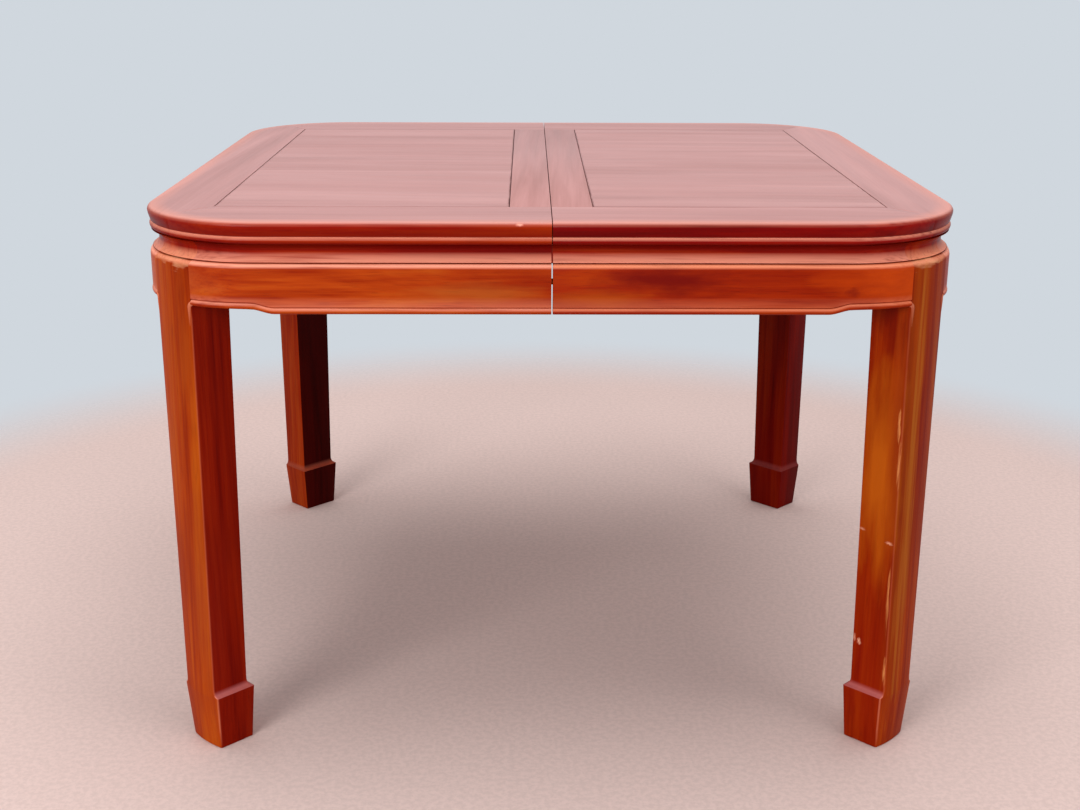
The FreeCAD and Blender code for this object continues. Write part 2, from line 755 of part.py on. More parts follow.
def rail_face():
    """The right rail's running face in the back set."""
    return size["slideCentre"] - size["slideThickness"] / 2 - size["slideGap"]


def build_slides():
    length, thick, play = size["slideHalfLength"], size["slideThickness"], size["slideGap"]
    face = rail_face()
    relief_floor = slide_top - size["slideRelief"]
    middle_height = (slide_top + slide_bottom) / 2
    tongue_half = size["slideTongueHeight"] / 2
    pin, pin_x, pin_y = size["stopPinRadius"], -size["stopPinPlace"], face - size["stopPinInset"]

    blank = box("rail_blank", (-length, face - thick, slide_bottom), (length, face, slide_top))
    relief_end = (size["reliefOverlap"], face, slide_top)
    relief = box("rail_relief", (-length, face - thick, relief_floor), relief_end)
    groove_low = (-length, face - size["slideTongue"] - play * 2, middle_height - tongue_half - play)
    groove = box("rail_groove", groove_low, (length, face, middle_height + tongue_half + play))
    pin_hole = cylinder("rail_pin_hole", pin, size["stopPinHeight"], pin_x, pin_y, slide_bottom)
    holes = [pin_hole]
    screws = []
    sink, shank, rod = size["slideScrewSink"], size["slideScrewLength"], size["slideScrewShank"]
    screw_y = face - size["slideScrewInset"]
    floor, head_height = slide_bottom + sink, size["screwHeadHeight"]
    for number, name in enumerate(("battenInner", "battenOuter")):
        at = (size[name], screw_y)
        holes.append(cylinder(f"rail_sink{number}", size["slideScrewHole"], sink, *at, slide_bottom))
        holes.append(cylinder(f"rail_hole{number}", rod, slide_top - floor, *at, floor))
        head_low = floor - head_height
        head = cylinder(f"slide_head{number}", size["slideScrewHead"], head_height, *at, head_low)
        shaft = cylinder(f"slide_shaft{number}", rod, shank, *at, floor)
        screws.append(fuse(f"slide_screw{number}", head, shaft))
    rail = cut("slide_rail", blank, relief, groove, *holes)
    stop_pin = cylinder("stop_pin", pin, size["stopPinHeight"], pin_x, pin_y, slide_bottom)
    screw_pair = group("slide_screw_pair", *screws)
    for stem, piece in (("slide_rail", rail), ("stop_pins", stop_pin), ("slide_screws", screw_pair)):
        publish_slide_pieces(stem, piece)

    publish_runners(relief_floor, middle_height, tongue_half)
    return screw_y


def publish_slide_pieces(stem, piece):
    """The back set's right piece, and the same piece turned half round for the left half."""
    turned = doc.addObject("Part::Compound", f"{stem}_turned")
    turned.Links = [piece]
    put(turned, 0, 2 * size["slideCentre"], 0, Rotation(Vector(0, 0, 1), 180))
    for side, back in (("right", piece), ("left", turned)):
        front = mirrored(f"{stem}_front_{side}_twin", back, front_to_back)
        if stem == "slide_rail":
            publish(f"{stem}_back_{side}", back)
            publish(f"{stem}_front_{side}", front)
        else:
            publish(f"{stem}_{side}", group(f"{stem}_{side}_set", back, front))


def publish_runners(relief_floor, middle_height, tongue_half):
    length, centre, half = size["slideHalfLength"], size["slideCentre"], size["slideThickness"] / 2
    reach = half + size["slideTongue"]
    near, far = centre - half, centre + half
    body = box("runner_board", (-length, near, slide_bottom), (length, far, relief_floor))
    low, high = middle_height - tongue_half, middle_height + tongue_half
    tongue = box("runner_tongue", (-length, centre - reach, low), (length, centre + reach, high))
    pin, place, depth = size["stopPinRadius"], size["stopPinPlace"], size["stopSlotDepth"]
    end = place + pin + size["slideGap"]
    start = place - size["travel"] / 2 - pin - size["slideGap"]
    outer, inner = centre + reach, centre - reach
    left_slot = box("slot_left", (start, outer - depth, low - past), (end, outer + past, high + past))
    right_slot = box("slot_right", (-end, inner - past, low - past), (-start, inner + depth, high + past))
    back = cut("slide_runner", fuse("runner_blank", body, tongue), left_slot, right_slot)
    publish("slide_runner_back", back)
    publish("slide_runner_front", mirrored("slide_runner_front_twin", back, front_to_back))


# ---- locks under the seam: a lever on the left half swings over to hook a stud on the right half


def plate_underside():
    return frame_underside - size["plateThickness"]


def lock_places():
    return (("back", size["lockSpread"]), ("front", -size["lockSpread"]))


def plate_screw_spots(side, middle):
    """Two screws, near the edge of the plate that is away from the seam."""
    sign = 1 if side == "right" else -1
    across = sign * (size["plateNear"] + size["plateLength"] - size["lockScrewInset"])
    return [(across, middle - size["lockScrewSpread"]), (across, middle + size["lockScrewSpread"])]


def lock_screw_spots(side):
    """All the screws of one side's two plates."""
    for name, middle in lock_places():
        for number, (across, along) in enumerate(plate_screw_spots(side, middle)):
            yield f"{side}_{name}{number}", across, along


def lock_screw_holes():
    rod, deep = size["lockScrewRadius"], size["lockScrewLength"]
    holes = {}
    for side in ("right", "left"):
        holes[side] = []
        for tag, x, y in lock_screw_spots(side):
            holes[side].append(cylinder(f"stile_hole_{tag}", rod, deep, x, y, frame_underside))
    return holes


def build_lock_screws():
    thick = size["plateThickness"]
    for side in ("right", "left"):
        screws = []
        for tag, x, y in lock_screw_spots(side):
            low = plate_underside() - size["screwHeadHeight"]
            head = cylinder(f"lock_head_{tag}", size["lockScrewHead"], size["screwHeadHeight"], x, y, low)
            length = thick + size["lockScrewLength"]
            shaft = cylinder(f"lock_shaft_{tag}", size["lockScrewRadius"], length, x, y, plate_underside())
            screws.append(fuse(f"lock_screw_{tag}", head, shaft))
        publish(f"lock_screws_{side}", group(f"lock_screws_{side}", *screws))


def lock_plate(name, side, middle, rod):
    """A plate with two screw holes and a hole for its pivot or stud."""
    sign = 1 if side == "right" else -1
    near, length, half = size["plateNear"], size["plateLength"], size["plateWidth"] / 2
    low_x = near if sign > 0 else -(near + length)
    low = (low_x, middle - half, plate_underside())
    blank = box(f"{name}_blank", low, (low_x + length, middle + half, frame_underside))
    thick, floor = size["plateThickness"], plate_underside()
    holes = [cylinder(f"{name}_seat", rod, thick, sign * size["lockPivot"], middle, floor)]
    for number, spot in enumerate(plate_screw_spots(side, middle)):
        holes.append(cylinder(f"{name}_hole{number}", size["lockScrewRadius"], thick, *spot, floor))
    publish(name, cut(f"{name}_plate", blank, *holes))


def lock_rod(name, rod, head_radius, x, middle):
    """A pivot or a stud: a rod through its plate with a broad head under the lever."""
    head_top = plate_underside() - 2 * size["leverGap"] - size["leverThickness"]
    length = frame_underside - head_top
    pin = cylinder(f"{name}_rod", rod, length, x, middle, head_top)
    thick = size["lockHeadHeight"]
    head = cylinder(f"{name}_head", head_radius, thick, x, middle, head_top - thick)
    return fuse(name, pin, head)


def lock_lever(name, middle, sign):
    """Parked along the seam, pointing to the middle of the table. Its catch leads when it swings over."""
    half, reach, x = size["leverHalfWidth"], 2 * size["lockPivot"], -size["lockPivot"]
    high = plate_underside() - size["leverGap"]
    low = high - size["leverThickness"]
    end = reach + size["leverTail"]
    bar_ends = sorted((middle, middle - sign * end), key=value_of)
    bar = box(f"{name}_bar", (x - half, bar_ends[0], low), (x + half, bar_ends[1], high))
    eye = cylinder(f"{name}_eye", half, high - low, x, middle, low)
    grip_near = middle - sign * (end - size["leverGripThickness"])
    grip_ends = sorted((grip_near, middle - sign * end), key=value_of)
    grip_low = low - size["leverGripDrop"]
    grip_half = size["leverGripWidth"] / 2
    grip = box(f"{name}_grip", (x - grip_half, grip_ends[0], grip_low), (x + grip_half, grip_ends[1], low))
    bore = cylinder(f"{name}_bore", size["pivotRadius"] + size["pivotEase"], high - low, x, middle, low)
    catch_middle = middle - sign * reach
    catch = size["catchHalfWidth"]
    mouth_low = (x, catch_middle - catch, low - past)
    mouth = box(f"{name}_mouth", mouth_low, (x + half + past, catch_middle + catch, high + past))
    seat = cylinder(f"{name}_catch", catch, high - low + 2 * past, x, catch_middle, low - past)
    publish(name, cut(f"{name}_hook", fuse(f"{name}_blank", bar, eye, grip), bore, mouth, seat))


def build_locks():
    across = size["lockPivot"]
    pivots, studs = [], []
    for name, middle in lock_places():
        sign = 1 if name == "back" else -1
        lock_plate(f"lock_plate_{name}", "left", middle, size["pivotRadius"])
        lock_plate(f"lock_keeper_{name}", "right", middle, size["studRadius"])
        pivot, stud = f"lock_pivot_{name}", f"lock_stud_{name}"
        pivots.append(lock_rod(pivot, size["pivotRadius"], size["pivotHead"], -across, middle))
        studs.append(lock_rod(stud, size["studRadius"], size["studHead"], across, middle))
        lock_lever(f"lock_lever_{name}", middle, sign)
    publish("lock_pivots", group("lock_pivots", *pivots))
    publish("lock_studs", group("lock_studs", *studs))
    build_lock_screws()


# ---- the whole table

stile_right, stile_left = build_top()
build_panels()
apron_blank = build_waist_and_aprons()
build_legs()
build_corner_blocks()
build_seam(apron_blank, stile_right, stile_left)
right_screws = build_slides()
left_screws = 2 * size["slideCentre"] - right_screws
for place in ("battenInner", "battenOuter"):
    stem = "batten_inner" if place == "battenInner" else "batten_outer"
    build_batten(f"{stem}_right", size[place], right_screws, "right")
    build_batten(f"{stem}_left", -size[place], left_screws, "left")
build_locks()
doc.recompute()

failed = [item.Name for item in doc.Objects if {"Invalid", "Error"} & set(item.State)]
if failed:
    raise SystemExit(f"objects that failed to build: {failed}")
for piece in nodes:
    if piece.Shape.isNull() or not piece.Shape.isValid():
        raise SystemExit(f"{piece.Label} has no valid shape")
os.makedirs("parts", exist_ok=True)
for piece in nodes:
    piece.Shape.exportStep(os.path.join("parts", f"{piece.Label}.step"))
    solids = len(piece.Shape.Solids)
    print(f"{piece.Label}: {solids} solid{'s' if solids > 1 else ''}, {piece.Shape.Volume / 1000:.1f} cm3")
print(len(nodes), "sub-parts")
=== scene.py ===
import math

import bmesh
import bpy
from mathutils import Matrix, Vector


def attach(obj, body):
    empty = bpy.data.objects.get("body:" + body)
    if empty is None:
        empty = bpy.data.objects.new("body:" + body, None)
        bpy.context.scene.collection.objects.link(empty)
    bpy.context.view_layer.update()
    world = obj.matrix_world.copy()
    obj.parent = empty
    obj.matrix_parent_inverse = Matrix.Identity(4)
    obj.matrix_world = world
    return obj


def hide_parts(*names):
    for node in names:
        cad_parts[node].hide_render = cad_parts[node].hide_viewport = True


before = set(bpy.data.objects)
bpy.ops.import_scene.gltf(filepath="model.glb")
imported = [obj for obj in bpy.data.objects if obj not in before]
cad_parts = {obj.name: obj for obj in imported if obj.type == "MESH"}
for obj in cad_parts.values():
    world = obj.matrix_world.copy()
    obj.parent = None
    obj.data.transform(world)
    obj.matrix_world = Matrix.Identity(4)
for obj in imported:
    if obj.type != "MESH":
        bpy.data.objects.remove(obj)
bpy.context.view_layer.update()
mm = 0.001
print("frame loaded:", len(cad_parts), "parts")


# ---- small helpers

def tone(red, green, blue):
    # a colour as a picture editor shows it, 0 to 255
    shown = [level / 255 for level in (red, green, blue)]
    return [c / 12.92 if c <= 0.04045 else ((c + 0.055) / 1.055) ** 2.4 for c in shown] + [1.0]


def darker(colour, share):
    return [level * share for level in colour[:3]] + [1.0]


def addNode(tree, kind, feeds=None, **settings):
    node = tree.nodes.new("ShaderNode" + kind)
    for name, value in settings.items():
        setattr(node, name, value)
    for name, value in (feeds or {}).items():
        if isinstance(value, bpy.types.NodeSocket):
            tree.links.new(value, node.inputs[name])
        else:
            node.inputs[name].default_value = value
    return node


def addMath(tree, operation, first, second=0.0, clamp=False):
    node = addNode(tree, "Math", {0: first, 1: second}, operation=operation, use_clamp=clamp)
    return node.outputs[0]


def addRange(tree, value, low, high, toLow=0.0, toHigh=1.0):
    feeds = {"Value": value, "From Min": low, "From Max": high, "To Min": toLow, "To Max": toHigh}
    return addNode(tree, "MapRange", feeds).outputs[0]


def addRamp(tree, value, stops):
    ramp = addNode(tree, "ValToRGB", {"Fac": value})
    bar = ramp.color_ramp
    while len(bar.elements) < len(stops):
        bar.elements.new(0.5)
    for element, (place, colour) in zip(bar.elements, stops):
        element.position = place
        element.color = colour
    return ramp.outputs["Color"]


def mixColour(tree, share, under, over, blend="MIX"):
    # a colour mix has its share, first and second colour on these sockets
    feeds = {0: share, 6: under, 7: over}
    return addNode(tree, "Mix", feeds, data_type="RGBA", blend_type=blend).outputs[2]


def stretched(tree, vector, scale):
    return addNode(tree, "Mapping", {"Vector": vector, "Scale": scale}).outputs[0]


def addNoise(tree, vector, detail=3.0, roughness=0.5, distortion=0.0):
    feeds = {"Vector": vector, "Scale": 1.0, "Detail": detail, "Roughness": roughness,
             "Distortion": distortion}
    return addNode(tree, "TexNoise", feeds).outputs["Fac"]


def newMaterial(name):
    material = bpy.data.materials.new(name)
    material.use_nodes = True
    return material, material.node_tree, material.node_tree.nodes["Principled BSDF"]


# ---- wood finishes

alongGrain = {
    "x": (0, 0, 0),
    "y": (0, 0, math.radians(-90)),
    "z": (0, math.radians(90), 0),
}

woodDefaults = {
    "grain": "x",
    "shift": (0, 0, 0),            # moves the figure, so that no two boards match
    "tilt": 1.5,                   # degrees that the grain runs off the board
    "deep": (112, 14, 0),
    "body": (160, 44, 6),
    "bright": (186, 78, 22),
    "red": (122, 10, 0),           # cloudy redder stain
    "redShare": 0.45,
    "figure": (1.2, 9.0),          # broad figure along and across the grain, per metre
    "streak": (2.4, 46.0),
    "fibre": (7.0, 270.0),
    "pore": (16.0, 1150.0),
    "poreShare": 0.30,
    "contrast": 0.16,              # half the noise range that spans the three tones
    "gloss": 0.34,                 # roughness of the wood under the lacquer
    "sheen": 0.04,                 # how much it mirrors, 0.5 is plain lacquer
    "coat": 0.05,
    "coatRough": 0.18,
    "patches": (),
    "crown": None,                 # tones of the upward face, on the top a painted reflection of the pale wall: (height from, height to, tones, share), mm
    "under": None,                 # tones of the painted shade on the faces turned down, the deep tone where none are given
    "sideShade": None,              # painted shade: (direction, tint) that darkens the faces turned that way
    "hoofGlint": None,                 # tone and share of a painted reflection on what faces up near the floor
    "hoofGlintHeights": (120, 100),    # mm, where that tone comes in
    "shadeUnder": 0.5,             # painted shade: how much darker the faces turned down are
    "wander": 0.9,                 # how much the figure curls
    # tone and share of the painted highlights on rounded edges, in part bare spots of the finish
    "highlightAndBareTone": (206, 116, 70),
    "highlightAndBareShare": 0.35,
    "jointShade": (78, 26, 20),         # painted shade in crevices and in the gaps of joints
    "cloud": (3.0, 7.0, 7.0),      # size of the stains, per metre
    "mixture": (0.50, 0.34, 0.16),  # how much figure, streak and fibre weigh in the tones
}
patchEdge = (1.1, 0.25)   # where a patch begins and where it is full, in shares of its reach
patchDull = 0.22          # how much rougher it is there


def threeTones(tree, spread, tones, last=0.92):
    return addRamp(tree, spread, [(place, tone(*shade)) for place, shade in zip((0.08, 0.5, last), tones)])


def addPatch(tree, place, under, rough, patch):
    # a spot of rubbing, stain or darker tone, some of them painted reflection and painted shade: (centre,
    # reach, colour, share, raggedness), lengths in mm
    centre, reach, colour, share, ragged = patch
    feeds = {
        "Vector": place,
        "Location": [c * mm for c in centre],
        "Scale": [r * mm for r in reach],
    }
    near = addNode(tree, "Mapping", feeds, vector_type="TEXTURE").outputs[0]
    away = addNode(tree, "VectorMath", {0: near}, operation="LENGTH").outputs["Value"]
    torn = addNoise(tree, stretched(tree, near, (1.5, 1.5, 1.5)), 3.0, 0.5)
    away = addMath(tree, "ADD", away, addRange(tree, torn, 0.3, 0.7, -ragged, ragged))
    mask = addRange(tree, away, *patchEdge, 0.0, share)
    roughened = addMath(tree, "ADD", rough, addMath(tree, "MULTIPLY", mask, patchDull))
    return mixColour(tree, mask, under, tone(*colour)), roughened


def rosewood(name, **changes):
    look = dict(woodDefaults, **changes)
    material, tree, shader = newMaterial(name)
    place = addNode(tree, "TexCoord").outputs["Object"]
    height = addNode(tree, "SeparateXYZ", {"Vector": place}).outputs["Z"]
    turn = Vector(alongGrain[look["grain"]]) + Vector((0, 0, math.radians(look["tilt"])))
    moved = {"Vector": place, "Rotation": turn, "Location": look["shift"]}
    run = addNode(tree, "Mapping", moved).outputs[0]

    def along(pair):
        return stretched(tree, run, (pair[0], pair[1], pair[1]))

    figure = addNoise(tree, along(look["figure"]), 3.0, 0.5, look["wander"])
    streak = addNoise(tree, along(look["streak"]), 4.0, 0.55, 0.25)
    fibre = addNoise(tree, along(look["fibre"]), 2.0, 0.5)
    pore = addNoise(tree, along(look["pore"]), 1.0, 0.5)
    cloud = addNoise(tree, stretched(tree, run, look["cloud"]), 3.0, 0.5, 0.4)

    mixed = 0.0
    for noise, weight in zip((figure, streak, fibre), look["mixture"]):
        mixed = addMath(tree, "ADD", mixed, addMath(tree, "MULTIPLY", noise, weight))
    spread = addRange(tree, mixed, 0.5 - look["contrast"], 0.5 + look["contrast"])
    colour = threeTones(tree, spread, (look["deep"], look["body"], look["bright"]), 0.95)
    stained = addRange(tree, cloud, 0.42, 0.66, 0.0, look["redShare"])
    colour = mixColour(tree, stained, colour, tone(*look["red"]))

    pores = addRange(tree, pore, 0.40, 0.28, 0.0, 1.0)
    dark = darker(tone(*look["deep"]), 0.35)
    colour = mixColour(tree, addMath(tree, "MULTIPLY", pores, look["poreShare"]), colour, dark)
    rough = addRange(tree, streak, 0.3, 0.7, look["gloss"] - 0.035, look["gloss"] + 0.045)

    # the crown's tones: on the top the painted reflection of the pale wall, on the legs a darker head
    if look["crown"]:
        low, high, crownTones, share = look["crown"]
        mask = addRange(tree, height, low * mm, high * mm, 0.0, share)
        colour = mixColour(tree, mask, colour, threeTones(tree, spread, crownTones))
    for patch in look["patches"]:
        colour, rough = addPatch(tree, place, colour, rough, patch)

    normal = addNode(tree, "NewGeometry").outputs["Normal"]
    # painted shade on the faces turned the given way
    if look["sideShade"]:
        way, tint = look["sideShade"]
        facing = addNode(tree, "VectorMath", {0: normal, 1: way}, operation="DOT_PRODUCT").outputs["Value"]
        colour = mixColour(tree, addRange(tree, facing, 0.6, 0.95), colour, [*tint, 1.0], "MULTIPLY")
    up = addNode(tree, "SeparateXYZ", {"Vector": normal}).outputs["Z"]
    # painted shade on the faces turned down
    below = threeTones(tree, spread, look["under"]) if look["under"] else tone(*look["deep"])
    colour = mixColour(tree, addRange(tree, up, 0.0, -0.6, 0.0, look["shadeUnder"]), colour, below)
    # painted reflection on what faces up near the floor
    if look["hoofGlint"]:
        hoofGlintTone, share = look["hoofGlint"]
        low = addRange(tree, height, *[level * mm for level in look["hoofGlintHeights"]])
        mask = addMath(tree, "MULTIPLY", low, addRange(tree, up, 0.1, 0.5, 0.0, share))
        colour = mixColour(tree, mask, colour, tone(*hoofGlintTone))

    # the attribute read here is above nought for a painted highlight on rounded edges, in part bare spots of
    # the finish, and below it for painted shade in crevices and joint gaps
    paintedLightAndWear = addNode(tree, "Attribute", attribute_name="paintedLightAndWear").outputs["Fac"]
    patchiness = addRange(tree, addMath(tree, "ADD", fibre, addMath(tree, "MULTIPLY", cloud, 0.8)), 0.3, 0.9)
    lightShadeAndWear = addMath(tree, "MULTIPLY", addMath(tree, "MULTIPLY", paintedLightAndWear, patchiness), look["highlightAndBareShare"], True)
    colour = mixColour(tree, lightShadeAndWear, colour, tone(*look["highlightAndBareTone"]))
    rough = addMath(tree, "ADD", rough, addMath(tree, "MULTIPLY", lightShadeAndWear, 0.15))

    # painted shade in crevices and joint gaps, where the attribute is below nought
    creviceMottle = addRange(tree, addMath(tree, "ADD", cloud, streak), 0.8, 1.15, -0.15, -1.0)
    jointShade = addMath(tree, "MULTIPLY", paintedLightAndWear, creviceMottle, True)
    colour = mixColour(tree, jointShade, colour, tone(*look["jointShade"]))

    raised, sunk = addMath(tree, "MULTIPLY", fibre, 0.35), addMath(tree, "MULTIPLY", pores, 0.5)
    relief = addMath(tree, "SUBTRACT", raised, sunk)
    relief = addMath(tree, "ADD", relief, addMath(tree, "MULTIPLY", figure, 0.6))
    bump = addNode(tree, "Bump", {"Strength": 0.35, "Distance": 0.3 * mm, "Height": relief}).outputs[0]

    tree.links.new(colour, shader.inputs["Base Color"])
    tree.links.new(rough, shader.inputs["Roughness"])
    tree.links.new(bump, shader.inputs["Normal"])
    shader.inputs["IOR"].default_value = 1.5
    shader.inputs["Specular IOR Level"].default_value = look["sheen"]
    shader.inputs["Coat Weight"].default_value = look["coat"]
    shader.inputs["Coat Roughness"].default_value = look["coatRough"]
    shader.inputs["Coat IOR"].default_value = 1.5
    return material


metalFinish = {
    "cloud": (60, 60, 60),         # size of the dull patches, per metre
    "lines": (120, 2600, 120),     # the file's fine lines
    "dullRough": 0.25, "lineRough": 0.05, "lineDepth": 0.1,
}


def castMetal(name, colour, dull, gloss, dullShare):
    # brass or steel gone dull in patches, with the fine lines of the file
    m = metalFinish
    material, tree, shader = newMaterial(name)
    place = addNode(tree, "TexCoord").outputs["Object"]
    cloud = addNoise(tree, stretched(tree, place, m["cloud"]), 5.0, 0.6, 0.5)
    lines = addNoise(tree, stretched(tree, place, m["lines"]), 2.0, 0.5)
    stained = addRange(tree, cloud, 0.42, 0.62, 0.0, dullShare)
    shade = mixColour(tree, stained, tone(*colour), tone(*dull))
    rough = addMath(tree, "ADD", addMath(tree, "MULTIPLY", stained, m["dullRough"]), gloss)
    rough = addMath(tree, "ADD", rough, addRange(tree, lines, 0.3, 0.7, -m["lineRough"], m["lineRough"]))
    relief = {"Strength": 0.25, "Distance": m["lineDepth"] * mm, "Height": lines}
    bump = addNode(tree, "Bump", relief).outputs[0]
    tree.links.new(shade, shader.inputs["Base Color"])
    tree.links.new(rough, shader.inputs["Roughness"])
    tree.links.new(bump, shader.inputs["Normal"])
    shader.inputs["Metallic"].default_value = 1.0
    return material


# ---- mesh helpers

cutReach = 1e-7     # metres, how near to a cut a vertex counts as lying on it
planeReach = 2e-6   # metres, how near to a sawn plane a vertex counts as being on it


def arcPoints(centre, radius, start, end, steps, paintedLightAndWear=0.0):
    # the last number is the painted highlight, in part bare spots of the finish, on the rounding where it
    # faces up
    points = []
    for step in range(steps + 1):
        angle = math.radians(start + (end - start) * step / steps)
        lightShadeAndWear = paintedLightAndWear * max(math.sin(angle), 0)
        points.append((centre[0] + radius * math.cos(angle), centre[1] + radius * math.sin(angle), lightShadeAndWear))
    return points


def alongRun(bm, loop, shift):
    # draws the edge loop out in a straight line and gives the new loop
    drawn = bmesh.ops.extrude_edge_only(bm, edges=loop)["geom"]
    verts = {item for item in drawn if isinstance(item, bmesh.types.BMVert)}
    bmesh.ops.translate(bm, verts=list(verts), vec=shift)
    return [item for item in drawn if isinstance(item, bmesh.types.BMEdge) and set(item.verts) <= verts]


def roundCorner(bm, loop, centre, steps):
    geom = list({vert for edge in loop for vert in edge.verts}) + list(loop)
    turned = bmesh.ops.spin(bm, geom=geom, cent=centre, axis=(0, 0, 1), dvec=(0, 0, 0),
                            angle=math.radians(-90), steps=steps, use_duplicate=False)
    return [item for item in turned["geom_last"] if isinstance(item, bmesh.types.BMEdge)]


def mouldedRing(profile, centre, seam, stops, steps=26):
    # half of a square ring with rounded corners: from the seam at the back, round the right, to the front
    bm = bmesh.new()
    paintedLightAndWear = bm.verts.layers.float.new("paintedLightAndWear")
    verts = []
    # each profile point carries a painted highlight as a value above nought and painted shade as a value
    # below it
    for reach, height, lightShadeAndWear in profile:
        vert = bm.verts.new((seam * mm, (centre + reach) * mm, height * mm))
        vert[paintedLightAndWear] = lightShadeAndWear
        verts.append(vert)
    loop = [bm.edges.new((verts[n - 1], verts[n])) for n in range(len(verts))]
    there = seam
    for stop in stops + [centre]:
        loop = alongRun(bm, loop, ((stop - there) * mm, 0, 0))
        there = stop
    loop = roundCorner(bm, loop, (centre * mm, centre * mm, 0), steps)
    backward = stops[::-1]
    for stop in backward + [-stop for stop in stops] + [-centre]:
        loop = alongRun(bm, loop, (0, (stop - there) * mm, 0))
        there = stop
    loop = roundCorner(bm, loop, (centre * mm, -centre * mm, 0), steps)
    there = centre
    for stop in backward + [seam]:
        loop = alongRun(bm, loop, ((stop - there) * mm, 0, 0))
        there = stop
    closeHoles(bm)
    bmesh.ops.recalc_face_normals(bm, faces=bm.faces)
    return bm


def closeHoles(bm):
    rims = [edge for edge in bm.edges if edge.is_boundary]
    if rims:
        bmesh.ops.holes_fill(bm, edges=rims, sides=0)


def sawOff(bm, point, outward, soften=0.0):
    # saws along a plane, drops what lies outward of it, and eases the sawn edges
    point, outward = Vector(point) * mm, Vector(outward).normalized()
    geom = bm.verts[:] + bm.edges[:] + bm.faces[:]
    bmesh.ops.bisect_plane(bm, geom=geom, dist=cutReach, plane_co=point, plane_no=outward, clear_outer=True)
    closeHoles(bm)
    if soften:
        easeEnd(bm, point, outward, soften)


def easeEnd(bm, point, outward, soften):
    onPlane = {vert for vert in bm.verts if abs((vert.co - point).dot(outward)) < planeReach}
    rim = [edge for edge in bm.edges if set(edge.verts) <= onPlane and edge.calc_face_angle(0) > 0.5]
    easeEdges(bm, rim, soften)


def easeSeam(bm, sizes):
    easeEnd(bm, Vector((sizes["seam"] * mm, 0, 0)), Vector((1, 0, 0)), sizes["seamEase"])


def easeEdges(bm, edges, soften):
    bmesh.ops.bevel(bm, geom=edges, offset=soften * mm, offset_type="OFFSET", segments=2, profile=0.5,
                    affect="EDGES", clamp_overlap=True, material=-1)


def toPiece(bm, name, material, body, stands, smooth=34):
    mesh = bpy.data.meshes.new(name)
    bm.to_mesh(mesh)
    bm.free()
    mesh.shade_smooth()
    mesh.set_sharp_from_angle(angle=math.radians(smooth))
    mesh.materials.append(material)
    piece = bpy.data.objects.new(name, mesh)
    bpy.context.scene.collection.objects.link(piece)
    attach(piece, body)
    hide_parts(stands)
    return piece


def boardFor(blank, row, side):
    # a blank is shaped at the back on the right, the others are its mirror images about the table's middle
    board = blank.copy()
    for factors, needed in (((-1, 1, 1), side == "left"), ((1, -1, 1), row == "front")):
        if needed:
            bmesh.ops.scale(board, vec=factors, verts=board.verts)
            bmesh.ops.recalc_face_normals(board, faces=board.faces)
    return board


bodyOf = {"right": "right_half", "left": "left_half"}


# ---- the top's frame

topFrame = {
    "cornerCentre": 381, "seam": 0.6, "inner": 30,
    "top": 780, "under": 750, "reach": 178,
    "arris": 6.2, "leanFrom": (0.45, 3), "neck": (174.8, 761.2), "quirk": (173.6, 760.0),
    "beadCentre": (170.87, 755.3), "beadRadius": 5.3, "paleBand": 22,
    "panelEnd": 459.5, "panelSide": 438.5, "mitreTo": (506.9, 506.9),
    "groove": (762.5, 768.7), "grooveDepth": 7.5,
    "seamEase": 0.45, "mitreEase": 0.05,
}


def topProfile():
    f = topFrame
    arris = (f["reach"] - f["arris"], f["top"] - f["arris"])
    # the last numbers paint highlights on the arris, the quirk and the bead
    points = [(f["inner"], f["top"], 0), (arris[0] - f["paleBand"], f["top"], 0)]
    points += arcPoints(arris, f["arris"], 90, 0, 8, 0.35)
    lean, drop = f["leanFrom"]
    points += [(f["reach"] - lean, arris[1] - drop, 0), (*f["neck"], 0), (*f["quirk"], 0.35)]
    points += arcPoints(f["beadCentre"], f["beadRadius"], 60, -90, 10, 1.0)
    points += [(f["inner"], f["under"], 0)]
    return points


def groove(bm, axis, line, depth):
    # the slot that holds the panel's tongue, cut into the sawn face on that line
    low, high = topFrame["groove"]
    number = "xyz".index(axis)

    def sawnFaces():
        return [face for face in bm.faces
                if all(abs(vert.co[number] - line * mm) < planeReach for vert in face.verts)]

    for height in (low, high):
        sawn = sawnFaces()
        edges = {edge for face in sawn for edge in face.edges}
        verts = {vert for face in sawn for vert in face.verts}
        bmesh.ops.bisect_plane(bm, geom=list(verts) + list(edges) + sawn, dist=cutReach,
                               plane_co=(0, 0, height * mm), plane_no=(0, 0, 1))
    strip = [face for face in sawnFaces() if low * mm < face.calc_center_median().z < high * mm]
    pushed = bmesh.ops.extrude_face_region(bm, geom=strip)["geom"]
    verts = [item for item in pushed if isinstance(item, bmesh.types.BMVert)]
    shift = [0, 0, 0]
    shift[number] = depth * mm
    bmesh.ops.translate(bm, verts=verts, vec=shift)
    bmesh.ops.delete(bm, geom=strip, context="FACES")


panelEnd, panelSide = topFrame["panelEnd"], topFrame["panelSide"]
mitreStart = (panelEnd, panelSide, 0)
mitreRun = Vector((topFrame["mitreTo"][0] - panelEnd, topFrame["mitreTo"][1] - panelSide, 0))
toRail = Vector((-mitreRun.y, mitreRun.x, 0))

paintedWallSheen = ((168, 118, 112), (181, 131, 126), (192, 142, 137))   # painted reflection of the pale wall on the upward faces
